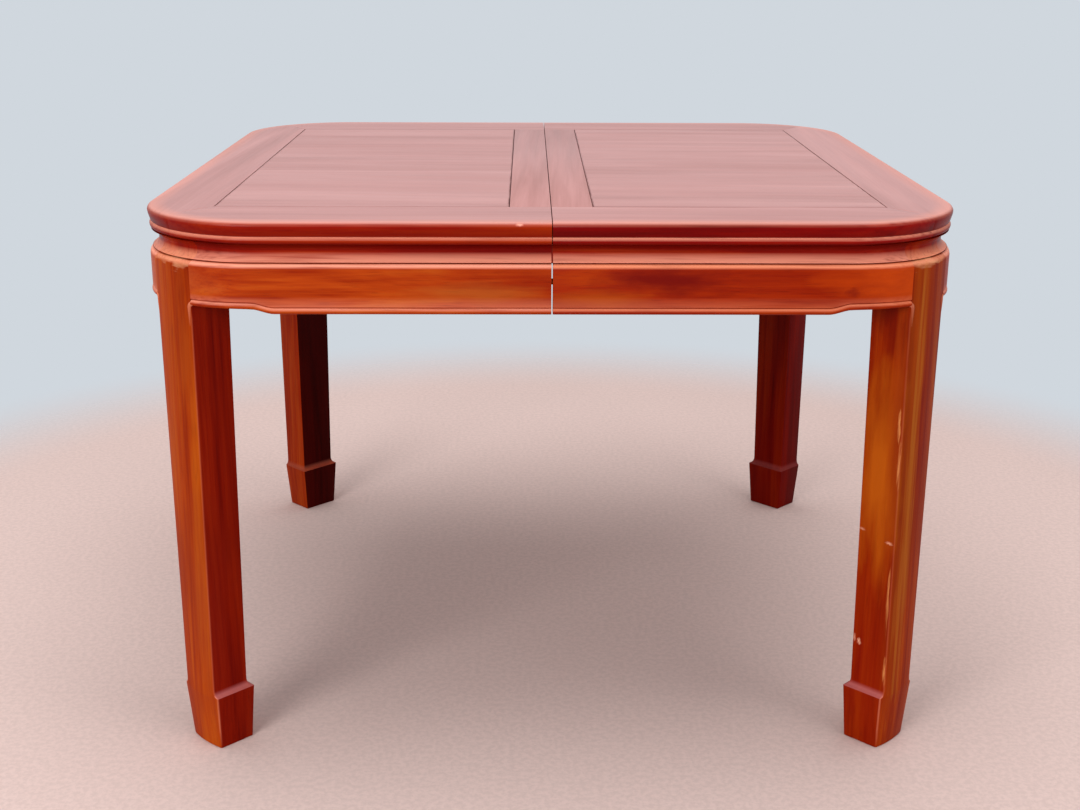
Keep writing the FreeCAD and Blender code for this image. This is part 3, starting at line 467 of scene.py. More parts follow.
# the top's faces turned down carry painted shade
topWood = {
    "deep": (100, 0, 0), "body": (132, 10, 0), "bright": (152, 32, 0), "red": (110, 0, 0),
    "crown": (777.2, 779.9, paintedWallSheen, 0.95), "sheen": 0.04, "coat": 0.06,
    "under": ((72, 0, 0), (100, 0, 0), (124, 14, 0)), "shadeUnder": 0.9,
    "figure": (1.0, 11.0), "streak": (2.0, 60.0), "highlightAndBareTone": (248, 158, 130), "highlightAndBareShare": 0.9,
}
railTones = {
    "front_left": {"shift": (0.3, 1.7, 0.2), "body": (140, 16, 0), "bright": (160, 42, 0)},
    "front_right": {"shift": (3.1, 0.4, 1.2), "body": (136, 4, 0), "bright": (156, 20, 0)},
    "back_left": {"shift": (5.2, 2.4, 0.7)},
    "back_right": {"shift": (7.7, 4.1, 2.2), "body": (126, 14, 0)},
}
endTones = {
    "left": {"shift": (2.3, 6.7, 0.9), "body": (132, 20, 0), "bright": (156, 44, 0)},
    "right": {"shift": (9.3, 2.7, 3.9), "body": (120, 6, 0), "bright": (146, 32, 0)},
}
nick = ((-42.5, -558.3, 777.4), (5.5, 3.0, 2.2), (246, 170, 150), 0.9, 0.2)

ring = mouldedRing(topProfile(), topFrame["cornerCentre"], topFrame["seam"], [])

endBlank = ring.copy()
sawOff(endBlank, (panelEnd, 0, 0), (-1, 0, 0))
groove(endBlank, "x", panelEnd, topFrame["grooveDepth"])
sawOff(endBlank, mitreStart, toRail, topFrame["mitreEase"])
sawOff(endBlank, (panelEnd, -panelSide, 0), (toRail.x, -toRail.y, 0), topFrame["mitreEase"])

railBlank = ring.copy()
sawOff(railBlank, (0, panelSide, 0), (0, -1, 0))
groove(railBlank, "y", panelSide, topFrame["grooveDepth"])
sawOff(railBlank, mitreStart, -toRail, topFrame["mitreEase"])
easeSeam(railBlank, topFrame)
ring.free()

for side in ("right", "left"):
    material = rosewood(f"endFrameWood{side.title()}", **dict(topWood, grain="y", **endTones[side]))
    toPiece(boardFor(endBlank, "end", side), f"end_frame_member_{side}", material,
            bodyOf[side], f"end_frame_{side}")
    for row in ("back", "front"):
        rail = boardFor(railBlank, row, side)
        look = dict(topWood, grain="x", **railTones[f"{row}_{side}"])
        if (row, side) == ("front", "left"):
            look["patches"] = (nick,)
        material = rosewood(f"topRailWood{row.title()}{side.title()}", **look)
        toPiece(rail, f"top_rail_moulded_{row}_{side}", material, bodyOf[side],
                f"top_rail_{row}_{side}")
endBlank.free()
railBlank.free()
print("top frame done")


# ---- the waist and the aprons

waist = {
    "cornerCentre": 391, "seam": 0.04, "inner": 139,
    "foot": (157.5, 725), "lip": (161, 725.5), "hollowCentre": (164.41, 737.86), "hollowRadius": 12.4,
    "top": (162, 750), "seamEase": 0.55,
    "lipRound": ((0.6, 0, -1), (0.05, 0.2, -1), (0, 0.5, -0.6)),   # in, up, painted shade in the crevice
    "coveHighlightHeight": 13,    # how far above the lip the hollow carries a painted highlight
    "gapShadeReach": 0.7,    # how wide the painted shade of the seam's gap lies beside it
}
apron = {
    "cornerCentre": 391, "seam": 0.9, "inner": 142.5, "bottom": 657.5, "top": 725, "reach": 164.5,
    "shoulder": 7, "belowShoulder": 4, "aboveField": 14,
    "beadCentre": (161.6, 661.5), "beadRadius": 4, "quirk": (162.6, 666), "field": (164.5, 667.4),
    "rise": 6.5, "riseFrom": 364, "riseTo": 396, "riseStep": 4, "riseLoops": 7, "seamEase": 0.5,
    "shoulderLightAndShade": (0, 0.25, 0.6, 0.85, 0.85, 0.6, 0.25, -0.4, -1),   # painted highlight on the round, painted shade in the crevice by the waist
    # the outer face fairs out to the legs over these degrees of the corner
    "swell": 2.65, "swellFrom": 10, "swellTo": 29.5, "faceFrom": 150,
}
legSide = 40.3  # half width of a leg where waist and apron meet it


def waistProfile():
    w = waist
    lip, low = w["lip"]
    points = [(w["inner"], w["foot"][1], 0), (*w["foot"], 0), (w["foot"][0], low, 0)]
    points += [(lip - inward, low + lift, lightShadeAndWear) for inward, lift, lightShadeAndWear in w["lipRound"]]
    for across, height, lightShadeAndWear in arcPoints(w["hollowCentre"], w["hollowRadius"], 251, 102, 14):
        points.append((across, height, max(0, 1 - (height - low) / w["coveHighlightHeight"])))
    points += [(*w["top"], 0), (w["inner"], w["top"][1], 0)]
    return points


def apronProfile():
    a = apron
    points = [(a["inner"], a["bottom"], 0)]
    points += arcPoints(a["beadCentre"], a["beadRadius"], -90, 62, 9, 0.75)
    points += [(*a["quirk"], 0), (*a["field"], 0.2), (a["reach"], a["field"][1] + a["aboveField"], 0)]
    points += [(a["reach"], a["top"] - a["shoulder"] - a["belowShoulder"], 0)]
    shoulder = arcPoints((a["reach"] - a["shoulder"], a["top"] - a["shoulder"]), a["shoulder"], 0, 90, 8)
    points += [(reach, height, lightShadeAndWear) for (reach, height, _), lightShadeAndWear in zip(shoulder, a["shoulderLightAndShade"])]
    points += [(a["inner"], a["top"], -1)]
    return points


def softStep(value, low, high):
    share = min(max((value - low) / (high - low), 0), 1)
    return share * share * (3 - 2 * share)


def liftEdge(bm):
    # the lower edge rises beside each leg in a soft S
    a = apron
    for vert in bm.verts:
        if vert.co.z < (a["field"][1] + 0.2) * mm:
            along = min(abs(vert.co.x), abs(vert.co.y)) / mm
            vert.co.z += a["rise"] * mm * softStep(along, a["riseFrom"], a["riseTo"])


def fairToLegs(bm):
    # the face swells in the corner until it is flush with the leg
    a, centre = apron, apron["cornerCentre"] * mm
    for vert in bm.verts:
        x, y = abs(vert.co.x) - centre, abs(vert.co.y) - centre
        reach = math.hypot(x, y)
        if min(x, y) < 0 or reach < a["faceFrom"] * mm:
            continue
        degrees = math.degrees(math.atan2(min(x, y), max(x, y)))
        under = min((a["top"] * mm - vert.co.z) / (a["shoulder"] * mm), 1)
        grown = 1 + a["swell"] * mm * softStep(degrees, a["swellFrom"], a["swellTo"]) * under / reach
        vert.co.x = math.copysign(centre + x * grown, vert.co.x)
        vert.co.y = math.copysign(centre + y * grown, vert.co.y)


def runsBetweenLegs(ring):
    # the run behind the table and the run at its right end, sawn off at the legs' sides
    centre, turned = waist["cornerCentre"], math.sqrt(0.5)
    point = (centre - legSide * turned, centre + legSide * turned, 0)
    back = ring.copy()
    sawOff(back, point, (1, -1, 0))
    sawOff(back, (0, 0, 0), (0, -1, 0))
    end = ring.copy()
    point = (point[1], point[0], 0)
    sawOff(end, point, (-1, 1, 0))
    sawOff(end, (point[0], -point[1], 0), (-1, -1, 0))
    return back, end


def paintSeamShade(bm, sizes):
    # a dark line painted where two strips meet, the shade of the seam's gap, held to the seam by a loop cut
    # beside it
    eased = sizes["seam"] + sizes["seamEase"]
    bmesh.ops.bisect_plane(bm, geom=bm.verts[:] + bm.edges[:] + bm.faces[:], dist=cutReach,
                           plane_co=((eased + sizes["gapShadeReach"]) * mm, 0, 0), plane_no=(1, 0, 0))
    for vert in bm.verts:
        if vert.co.x < (eased + 0.1) * mm:
            vert[bm.verts.layers.float["paintedLightAndWear"]] = -1.0


# painted highlights on the hollow's lip, painted shade on the faces turned down
waistWood = {
    "deep": (92, 0, 0), "body": (140, 18, 0), "bright": (168, 56, 8), "red": (104, 0, 0), "redShare": 0.5,
    "highlightAndBareTone": (250, 158, 130), "highlightAndBareShare": 1.0, "shadeUnder": 0.8,
}
waistTones = {
    "front_left": {"shift": (8.5, 9.2, 4.1)}, "front_right": {"shift": (8.5, 11.5, 4.1)},
    "back_left": {"shift": (6.8, 9.2, 4.1)}, "back_right": {"shift": (6.8, 11.5, 4.1)},
    "end_left": {"shift": (5.1, 9.2, 4.1)}, "end_right": {"shift": (5.1, 11.5, 4.1)},
}
apronWood = {
    "deep": (138, 28, 0), "body": (172, 60, 8), "bright": (188, 84, 18), "red": (150, 36, 6),
    "redShare": 0.35, "figure": (2.2, 13.0), "streak": (3.4, 60.0), "contrast": 0.15, "wander": 1.8,
    "highlightAndBareTone": (255, 166, 138), "highlightAndBareShare": 1.0,
}
apronTones = {
    "front_left": {"shift": (1.4, 3.3, 0.4), "patches": (
        ((-95, -555, 686), (95, 30, 16), (168, 82, 28), 0.55, 0.25),
        ((-470, -500, 700), (60, 60, 30), (176, 82, 40), 0.45, 0.25),
    )},
    "front_right": {
        "shift": (6.1, 1.2, 2.4), "deep": (120, 10, 0), "body": (150, 36, 0), "bright": (172, 60, 0),
        "redShare": 0.6, "highlightAndBareTone": (244, 146, 108), "patches": (
            ((150, -555, 702), (90, 30, 24), (104, 6, 2), 0.85, 0.35),
            ((60, -555, 678), (80, 30, 14), (166, 66, 8), 0.7, 0.2),
            ((455, -520, 700), (120, 70, 34), (196, 68, 4), 0.85, 0.2),
            ((395, -550, 688), (12, 20, 7), (104, 6, 4), 0.6, 0.3),
        )},
    "back_left": {"shift": (2.9, 7.2, 5.1)},
    "back_right": {"shift": (4.4, 8.6, 1.3), "body": (160, 46, 8)},
    "end_left": {"shift": (8.2, 5.5, 3.2)},
    "end_right": {"shift": (0.8, 9.4, 6.6), "body": (162, 48, 8)},
}

apronStops = [apron["riseFrom"] + apron["riseStep"] * n for n in range(apron["riseLoops"])]
boards = {
    "waist_strip": (waist, waistProfile(), [], "waist_wood", waistWood, waistTones),
    "apron": (apron, apronProfile(), apronStops, "apron_wood", apronWood, apronTones),
}
for stem, (sizes, profile, stops, slot, wood, tones) in boards.items():
    ring = mouldedRing(profile, sizes["cornerCentre"], sizes["seam"], stops)
    if stem == "apron":
        liftEdge(ring)
        fairToLegs(ring)
    back, end = runsBetweenLegs(ring)
    ring.free()
    easeSeam(back, sizes)
    if stem == "waist_strip":
        paintSeamShade(back, sizes)
    for side in ("right", "left"):
        for row in ("back", "front", "end"):
            board = boardFor(end if row == "end" else back, row, side)
            grain = "y" if row == "end" else "x"
            look = dict(wood, grain=grain, **tones[f"{row}_{side}"])
            material = rosewood(f"{stem}Wood{row.title()}{side.title()}", **look)
            toPiece(board, f"{stem}_moulded_{row}_{side}", material, bodyOf[side],
                    f"{stem}_{row}_{side}")
    back.free()
    end.free()
print("waist and aprons done")


# ---- the legs

leg = {
    "corner": 391, "arcSteps": 14, "reach": 167.2, "shoulder": 9.7, "shoulderCentre": 157.5,
    # sections: height, half width, inner face, outer radius
    "sole": (0, 34.8, 102, 160.7), "belly": (30, 37.0, 100.8, 163.0), "rim": (84, 41, 98.6, 167.2),
    "ankle": (95, 34.6, 106.8, 167.2), "head": (657.5, 40.3, 102.3, 167.2),
    "soleEase": 0.9, "soleGrowth": (0.06, -0.04, 0.05),
    "rimRound": ((-1.4, -0.1, 0.06, -0.1), (-0.35, -0.05, 0.05, 0), (0.45, -0.75, 0.9, 0)),
    "ankleCurve": ((85.3, 0.60), (86.4, 0.415), (87.8, 0.27), (89.6, 0.15), (92, 0.05), (95, 0.0)),
    "shaft": (140, 250, 400, 540, 600, 615, 630, 645),
    # painted highlights along the rounded edges of the shaft and of the hoof
    "arris": 2.6, "innerArris": 0.6, "arrisHighlight": 0.12, "hoofHighlight": 0.4,
    "arrisFadeFrom": 648, "arrisFadeTo": 668,   # the arris dies out where the leg meets the apron
    # painted highlight on the leg's cove, painted shade in the crevice under the waist
    "faceFrom": 130, "outerFrom": 120, "coveHighlight": 1.25, "creviceShade": -0.8,
    "arrisTurn": (12, 62, 12),   # degrees off the radius between which an edge gets its painted highlight, and how softly
}
bead = {
    "radius": 3.9, "turn": 6.5, "inset": 3.6, "lead": 5, "tail": 34, "lightShadeAndWear": 0.8,
    "reach": (163.8, 163.9, 165.2, 165.4),   # on the apron, before and after the turn, at the tail's end
    "thin": (1, 0.85, 0.35),                 # share of the radius before and after the turn, at the end
    "turnSteps": 8, "tailSteps": 6,
}


def shifted(section, change):
    return tuple(size + more for size, more in zip(section, change))


def between(height, low, high, share):
    return (height, *[one + (two - one) * share for one, two in zip(low[1:], high[1:])])


def legLevels():
    # the leg's sections from the floor up
    sole, rim, ankle, head = leg["sole"], leg["rim"], leg["ankle"], leg["head"]
    ease, springs = leg["soleEase"], apron["top"] - leg["shoulder"]
    levels = [shifted(sole, (0, -ease, ease, -ease)), shifted(sole, (ease, *leg["soleGrowth"])), leg["belly"]]
    levels += [shifted(rim, change) for change in leg["rimRound"]]
    levels += [between(height, ankle, rim, share) for height, share in leg["ankleCurve"]]
    for height in leg["shaft"]:
        levels.append(between(height, ankle, head, (height - ankle[0]) / (head[0] - ankle[0])))
    for height in (head[0], leg["arrisFadeTo"], springs - apron["belowShoulder"], springs):
        levels.append((height, *head[1:]))
    rounding = arcPoints((leg["shoulderCentre"], springs), leg["shoulder"], 11.25, 90, 7)
    for reach, height, lightShadeAndWear in rounding + waistProfile()[2:-1]:
        levels.append((height, head[1], head[2], reach))
    return levels


def fitLevel(verts, share, level):
    height, half, inner, outer = level
    for vert in verts:
        across, isOuter = share[vert]
        vert.co.y = across * half * mm
        vert.co.x = math.sqrt(outer ** 2 - (across * half) ** 2) * mm if isOuter else inner * mm
        vert.co.z = height * mm


def beadStations():
    # how far in on the leg, height, reach from the corner's centre and thickness, along the bead
    raised = apron["beadCentre"][1] + apron["rise"]
    turn, inset, thick = bead["turn"], bead["inset"], bead["radius"]
    start, bend, sunk, last = bead["reach"]
    whole, bent, ending = bead["thin"]
    stations = [(inset - turn - bead["lead"], raised, start, thick)]
    for step in range(bead["turnSteps"] + 1):
        share = step / bead["turnSteps"]
        angle = math.radians(90 * (1 - share))
        stations.append((inset - turn + turn * math.cos(angle), raised - turn + turn * math.sin(angle),
                         bend + (sunk - bend) * share, thick * (whole + (bent - whole) * share)))
    for step in range(1, bead["tailSteps"] + 1):
        share = step / bead["tailSteps"]
        stations.append((inset, raised - turn - bead["tail"] * share, sunk + (last - sunk) * share,
                         thick * (bent + (ending - bent) * share)))
    return stations


def beadReturn(bm, hand):
    # the apron's bead turns down on to the leg's edge and dies away there
    points = []
    for inward, height, reach, radius in beadStations():
        angle = hand * (math.asin(legSide / leg["reach"]) - inward / leg["reach"])
        points.append((Vector((reach * math.cos(angle), reach * math.sin(angle), height)) * mm, radius * mm))
    rings = []
    for number, (place, radius) in enumerate(points):
        ahead = points[min(number + 1, len(points) - 1)][0] - points[max(number - 1, 0)][0]
        facing = ahead.to_track_quat("Z", "X").to_matrix().to_4x4()
        ends = number in (0, len(points) - 1)
        made = bmesh.ops.create_circle(bm, cap_ends=ends, segments=12, radius=radius,
                                       matrix=Matrix.Translation(place) @ facing)["verts"]
        # a painted highlight on the bead, fading along it
        for vert in made:
            vert[bm.verts.layers.float["paintedLightAndWear"]] = bead["lightShadeAndWear"] * max(1 - number / len(points), 0.2)
        rings.append([edge for edge in bm.edges if edge.verts[0] in made and edge.verts[1] in made])
    for first, second in zip(rings, rings[1:]):
        bmesh.ops.bridge_loops(bm, edges=first + second)


def legBlank():
    # the sole's outline drawn up from section to section
    bm = bmesh.new()
    bm.verts.layers.float.new("paintedLightAndWear")
    levels = legLevels()
    height, half, inner, outer = levels[0]
    reach = math.asin(half / outer)
    first = bm.verts.new((outer * mm * math.cos(-reach), outer * mm * math.sin(-reach), 0))
    bmesh.ops.spin(bm, geom=[first], cent=(0, 0, 0), axis=(0, 0, 1), dvec=(0, 0, 0), angle=2 * reach,
                   steps=leg["arcSteps"], use_duplicate=False)
    bm.verts.ensure_lookup_table()
    arc = sorted(bm.verts, key=lambda vert: vert.co.y)
    near = [bm.verts.new((inner * mm, hand * half * mm, 0)) for hand in (1, -1)]
    loop = arc + near
    for one, two in ((arc[-1], near[0]), (near[0], near[1]), (near[1], arc[0])):
        bm.edges.new((one, two))
    bottom = bmesh.ops.contextual_create(bm, geom=bm.edges[:])["faces"][0]
    share = {vert: (vert.co.y / (half * mm), vert in arc) for vert in loop}
    fitLevel(loop, share, levels[0])
    face = bottom
    for level in levels[1:]:
        corners = list(face.verts)
        drawn = bmesh.ops.extrude_face_region(bm, geom=[face])["geom"]
        verts = [item for item in drawn if isinstance(item, bmesh.types.BMVert)]
        above = {}
        for vert in verts:
            below = min(corners, key=lambda corner: (corner.co - vert.co).length)
            above[vert] = share[below]
        if face is not bottom:
            bmesh.ops.delete(bm, geom=[face], context="FACES_ONLY")
        share = above
        fitLevel(verts, share, level)
        face = next(item for item in drawn if isinstance(item, bmesh.types.BMFace))
    bmesh.ops.recalc_face_normals(bm, faces=bm.faces)
    weighArrises(bm)
    return bm


def weighArrises(bm):
    # how far each long edge is rounded
    weight = bm.edges.layers.float.new("bevel_weight_edge")
    for edge in bm.edges:
        one, two = edge.verts
        if abs(one.co.z - two.co.z) < 0.01 * mm or edge.calc_face_angle(0) < 0.6:
            continue
        height = (one.co.z + two.co.z) / 2 / mm
        fade = (leg["arrisFadeTo"] - height) / (leg["arrisFadeTo"] - leg["arrisFadeFrom"])
        outerEdge = min(one.co.x, two.co.x) > leg["outerFrom"] * mm
        edge[weight] = (1.0 if outerEdge else leg["innerArris"]) * min(max(fade, 0.0), 1.0)


def paintLightAndShade(bm):
    # painted highlights on the rounded edges, round the shoulder and on the cove, painted shade in the
    # crevice under the waist
    paintedLightAndWear = bm.verts.layers.float["paintedLightAndWear"]
    bm.normal_update()
    low, high, soft = leg["arrisTurn"]
    for vert in bm.verts:
        height, radial = vert.co.z / mm, Vector((vert.co.x, vert.co.y, 0)).normalized()
        if vert.co.x < leg["faceFrom"] * mm or height < 2:
            continue
        overLip = height - waist["lip"][1]
        if -0.6 < overLip < 0.6:
            vert[paintedLightAndWear] = leg["creviceShade"]
        elif overLip > 0:
            vert[paintedLightAndWear] = leg["coveHighlight"] * max(1 - overLip / waist["coveHighlightHeight"], 0)
        elif height > apron["top"] - apron["shoulder"]:
            angle = math.asin(min(1 + (height - apron["top"]) / apron["shoulder"], 1))
            vert[paintedLightAndWear] = apron["shoulderLightAndShade"][round(math.degrees(angle) / 11.25)]
        elif height < leg["arrisFadeFrom"]:
            turned = math.degrees(vert.normal.angle(radial))
            share = min(max(turned - low, 0) / soft, max(high - turned, 0) / soft, 1)
            vert[paintedLightAndWear] = share * leg["hoofHighlight" if height < leg["rim"][0] + 3 else "arrisHighlight"]


def roundedArrises(bm):
    # a weighted bevel rounds the long edges, less and less towards the apron
    mesh = bpy.data.meshes.new("legBlank")
    bm.to_mesh(mesh)
    bm.free()
    blank = bpy.data.objects.new("legBlank", mesh)
    bpy.context.scene.collection.objects.link(blank)
    bevel = blank.modifiers.new("arris", "BEVEL")
    bevel.width = leg["arris"] * mm
    bevel.segments = 4
    bevel.limit_method = "WEIGHT"
    bevel.profile = 0.5
    shaped = blank.evaluated_get(bpy.context.evaluated_depsgraph_get()).to_mesh()
    done = bmesh.new()
    done.from_mesh(shaped)
    bpy.data.objects.remove(blank)
    bpy.data.meshes.remove(mesh)
    return done


frontRight, frontLeft = (0.71, -0.71, 0), (-0.71, -0.71, 0)
legWood = {
    "grain": "z", "deep": (122, 20, 0), "body": (162, 56, 2), "bright": (184, 84, 12), "red": (104, 0, 0),
    "redShare": 0.3, "figure": (1.4, 24.0), "streak": (2.8, 95.0),
    # painted shade on the faces turned front right, painted reflection on the hoof's flare
    "sideShade": (frontRight, (0.58, 0.16, 0.3)), "hoofGlint": ((176, 96, 94), 0.75), "sheen": 0.02, "coat": 0.03,
    "highlightAndBareTone": (246, 152, 116), "highlightAndBareShare": 0.85, "contrast": 0.18,
    "crown": (724, 728, ((104, 0, 0), (138, 18, 0), (160, 44, 6)), 0.95),
}
bare = (238, 172, 126)         # wood showing pale where the finish has gone
bareShaded = (252, 216, 150)   # pale wood where the finish has gone, on a face that the painted side shade darkens
rubbedGold = (246, 196, 96)    # thin golden strokes along an arris
legTones = {
    "front_left": {"shift": (3.4, 0.7, 1.9), "patches": (
        ((-500, -517, 722), (36, 32, 9), bare, 0.38, 0.8),
        ((-545, -470, 722), (20, 30, 8), bare, 0.32, 0.8),
        # painted reflection of the pale wall along the leg's left side
        ((-540, -455, 540), (24, 30, 260), (140, 64, 66), 0.5, 0.3),
        ((-492, -528, 590), (26, 18, 118), (176, 80, 18), 0.35, 0.4),
        ((-492, -526, 190), (44, 40, 190), (140, 52, 24), 0.45, 0.3),
    )},
    "front_right": {
        "shift": (0.9, 5.7, 4.4), "body": (156, 52, 0), "bright": (186, 84, 4),
        # painted shade on the faces turned front left
        "sideShade": (frontLeft, (0.8, 0.5, 0.7)), "highlightAndBareShare": 0.8, "patches": (
            ((505, -516, 721), (34, 30, 9), bare, 0.65, 0.5),
            ((456, -513, 410), (36, 36, 165), (200, 118, 14), 0.85, 0.3),
            # painted shadow of the apron on the top of the side face
            ((456, -513, 645), (36, 36, 60), (108, 14, 2), 0.7, 0.3),
            ((472, -528, 520), (13, 13, 150), (172, 84, 14), 0.6, 0.4),
            ((456, -513, 110), (50, 50, 150), (146, 30, 2), 0.5, 0.3),
            ((490, -523, 390), (26, 22, 360), (148, 62, 8), 0.6, 0.35),
            ((497, -519, 370), (9, 8, 330), (180, 104, 34), 0.5, 0.75),
            ((504, -512, 250), (5, 5, 210), (170, 90, 30), 0.55, 0.8),
            # painted shade along the leg's right side
            ((536, -472, 380), (14, 22, 420), (92, 16, 18), 0.6, 0.3),
            ((442, -495, 332), (6, 6, 2.2), bareShaded, 0.55, 0.4),
            ((474, -527, 322), (6, 6, 2.5), bareShaded, 0.75, 0.4),
            ((449, -498, 158), (3.5, 3.5, 5.5), bareShaded, 0.95, 0.3),
            ((443, -493, 162), (2.5, 2.5, 6.5), bareShaded, 0.6, 0.3),
            ((475, -529.5, 494), (2.4, 2.4, 24), rubbedGold, 0.75, 0.5),
            ((477.5, -532, 436), (2.2, 2.2, 34), rubbedGold, 0.6, 0.5),
            ((478, -529, 235), (2.2, 2.2, 46), rubbedGold, 0.6, 0.6),
            ((480, -530, 124), (2.4, 2.4, 22), rubbedGold, 0.65, 0.5),
        )},
    "back_left": {
        "shift": (7.4, 3.7, 0.2), "deep": (96, 8, 0), "body": (138, 36, 2), "bright": (162, 64, 14),
        # painted shade on the faces turned front right, painted reflection on the hoof's flare
        "sideShade": (frontRight, (0.16, 0.03, 0.1)), "hoofGlint": ((150, 74, 56), 0.5),
    },
    "back_right": {
        "shift": (5.4, 9.7, 8.9), "deep": (70, 0, 0), "body": (96, 10, 0), "bright": (122, 28, 0),
        # painted shade on the faces turned front right, painted reflection on the hoof's flare
        "sideShade": (frontRight, (0.9, 0.35, 0.4)), "hoofGlint": ((128, 56, 54), 0.5),
    },
}
corners = {"back_right": 45, "back_left": 135, "front_left": 225, "front_right": 315}  # degrees they face
plainLeg = roundedArrises(legBlank())
paintLightAndShade(plainLeg)
for hand in (1, -1):
    beadReturn(plainLeg, hand)
for corner, angle in corners.items():
    row, side = corner.split("_")
    away = leg["corner"] * mm
    at = Vector((away if side == "right" else -away, away if row == "back" else -away, 0))
    turn = Matrix.Rotation(math.radians(angle), 4, "Z")
    placed = plainLeg.copy()
    bmesh.ops.transform(placed, matrix=Matrix.Translation(at) @ turn, verts=placed.verts)
    material = rosewood(f"legWood{row.title()}{side.title()}", **dict(legWood, **legTones[corner]))
    toPiece(placed, f"leg_carved_{corner}", material, bodyOf[side], f"leg_{corner}", 30)
plainLeg.free()
print("legs done")


# ---- panels, seam stiles and the work under the top

flushWork = {
    "ease": 0.35,
    "sharp": 30, "flat": 0.5,      # degrees: an edge is eased above sharp, facets join below flat
    # how far the painted shade of the joint gaps reaches in, how much more of it at front and back, and its
    # steps
    "crownFrom": 779, "gapShadeReach": 2.0, "gapShadeMore": 0.8, "gapShadeShares": (-0.6, -0.25, 0.0),
}


def easedCopy(node):
    # the part as built, its facets joined to whole faces and its edges eased
    bm, w = bmesh.new(), flushWork
    bm.from_mesh(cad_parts[node].data)
    bmesh.ops.remove_doubles(bm, verts=bm.verts, dist=1e-6)
    bmesh.ops.dissolve_limit(bm, angle_limit=math.radians(w["flat"]), verts=bm.verts, edges=bm.edges)
    sharp = math.radians(w["sharp"])
    edges = [edge for edge in bm.edges if edge.is_manifold and edge.calc_face_angle(0) > sharp]
    easeEdges(bm, edges, w["ease"])
    return bm


def paintJointShade(bm):
    # a dark line painted along the joints of a flush top face, the shade of their gaps, dying away inwards,
    # more of it at the front and back
    w, paintedLightAndWear = flushWork, bm.verts.layers.float.new("paintedLightAndWear")
    crown = [face for face in bm.faces
             if face.normal.z > 0.99 and face.calc_center_median().z > w["crownFrom"] * mm]
    for face in crown:
        for vert in face.verts:
            vert[paintedLightAndWear] = -1.0
    for share in w["gapShadeShares"]:
        bmesh.ops.inset_region(bm, faces=crown, thickness=w["gapShadeReach"] / len(w["gapShadeShares"]) * mm,
                               use_even_offset=True)
        inner = list({vert for face in crown for vert in face.verts})
        half = max(vert.co.y for vert in inner)
        bmesh.ops.scale(bm, vec=(1, 1 - w["gapShadeMore"] * mm / half, 1), verts=inner)
        for vert in inner:
            vert[paintedLightAndWear] = share
    return bm


# the panels' tones are the painted reflection of the pale wall, their faces turned down carry painted shade
panelWood = {
    "deep": paintedWallSheen[0], "body": paintedWallSheen[1], "bright": paintedWallSheen[2], "red": (178, 124, 118), "redShare": 0.35,
    "sheen": 0.04, "coat": 0.06, "figure": (1.2, 13.0), "streak": (2.2, 60.0),
    "poreShare": 0.15, "under": ((104, 40, 18), (140, 66, 34), (164, 90, 52)), "shadeUnder": 0.96,
}
hiddenWood = {
    "deep": (112, 44, 18), "body": (152, 74, 36), "bright": (176, 98, 54), "red": (128, 44, 18),
    "redShare": 0.35, "coat": 0.0, "gloss": 0.52, "poreShare": 0.4,
}
slideWood = {
    "deep": (120, 66, 32), "body": (166, 104, 56), "bright": (188, 128, 76), "red": (140, 74, 36),
    "redShare": 0.3, "coat": 0.15, "coatRough": 0.3, "gloss": 0.42, "poreShare": 0.4, "figure": (1.2, 26.0),
}
panelShift = {"right": (1.9, 4.2, 0.3), "left": (6.6, 0.9, 2.8)}
for side in ("right", "left"):
    look = dict(panelWood, grain="x", shift=panelShift[side])
    material = rosewood(f"panelWood{side.title()}", **look)
    toPiece(paintJointShade(easedCopy(f"top_panel_{side}")), f"floating_panel_{side}", material,
            bodyOf[side], f"top_panel_{side}")
    look = dict(topWood, grain="y", shift=panelShift[side][::-1])
    material = rosewood(f"seamStileWood{side.title()}", **look)
    toPiece(easedCopy(f"seam_stile_{side}"), f"seam_stile_planed_{side}", material,
            bodyOf[side], f"seam_stile_{side}")


def dress(node, material):
    # a part that is shown as built gets its finish
    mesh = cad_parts[node].data
    mesh.materials.clear()
    mesh.materials.append(material)


places = [f"{row}_{side}" for row in ("front", "back") for side in ("left", "right")]
battens = [f"batten_{row}_{side}" for side in ("left", "right") for row in ("inner", "outer")]
carried = [(node, "y", hiddenWood) for node in battens]
carried += [(f"corner_block_{place}", "z", hiddenWood) for place in places]
carried += [(f"slide_rail_{place}", "x", slideWood) for place in places]
for node in ("slide_runner_front", "slide_runner_back", "seam_dowels", "apron_dowels"):
    carried.append((node, "x", slideWood))
for number, (node, grain, wood) in enumerate(carried):
    look = dict(wood, grain=grain, shift=(number * 1.3, number * 0.7, number * 2.1))
    dress(node, rosewood(f"{node}Wood", **look))

brass = castMetal("agedBrass", (196, 158, 84), (112, 84, 44), 0.28, 0.6)
steel = castMetal("dulledSteel", (172, 170, 166), (96, 84, 74), 0.34, 0.7)
for stem in ("lock_plate", "lock_keeper", "lock_lever"):
    for row in ("front", "back"):
        dress(f"{stem}_{row}", brass)
for node in ("lock_pivots", "lock_studs"):
    dress(node, steel)
for stem in ("lock_screws", "slide_screws", "stop_pins"):
    for side in ("left", "right"):
        dress(f"{stem}_{side}", steel)
print("panels, stiles and underwork done")


# ---- floor, light and camera

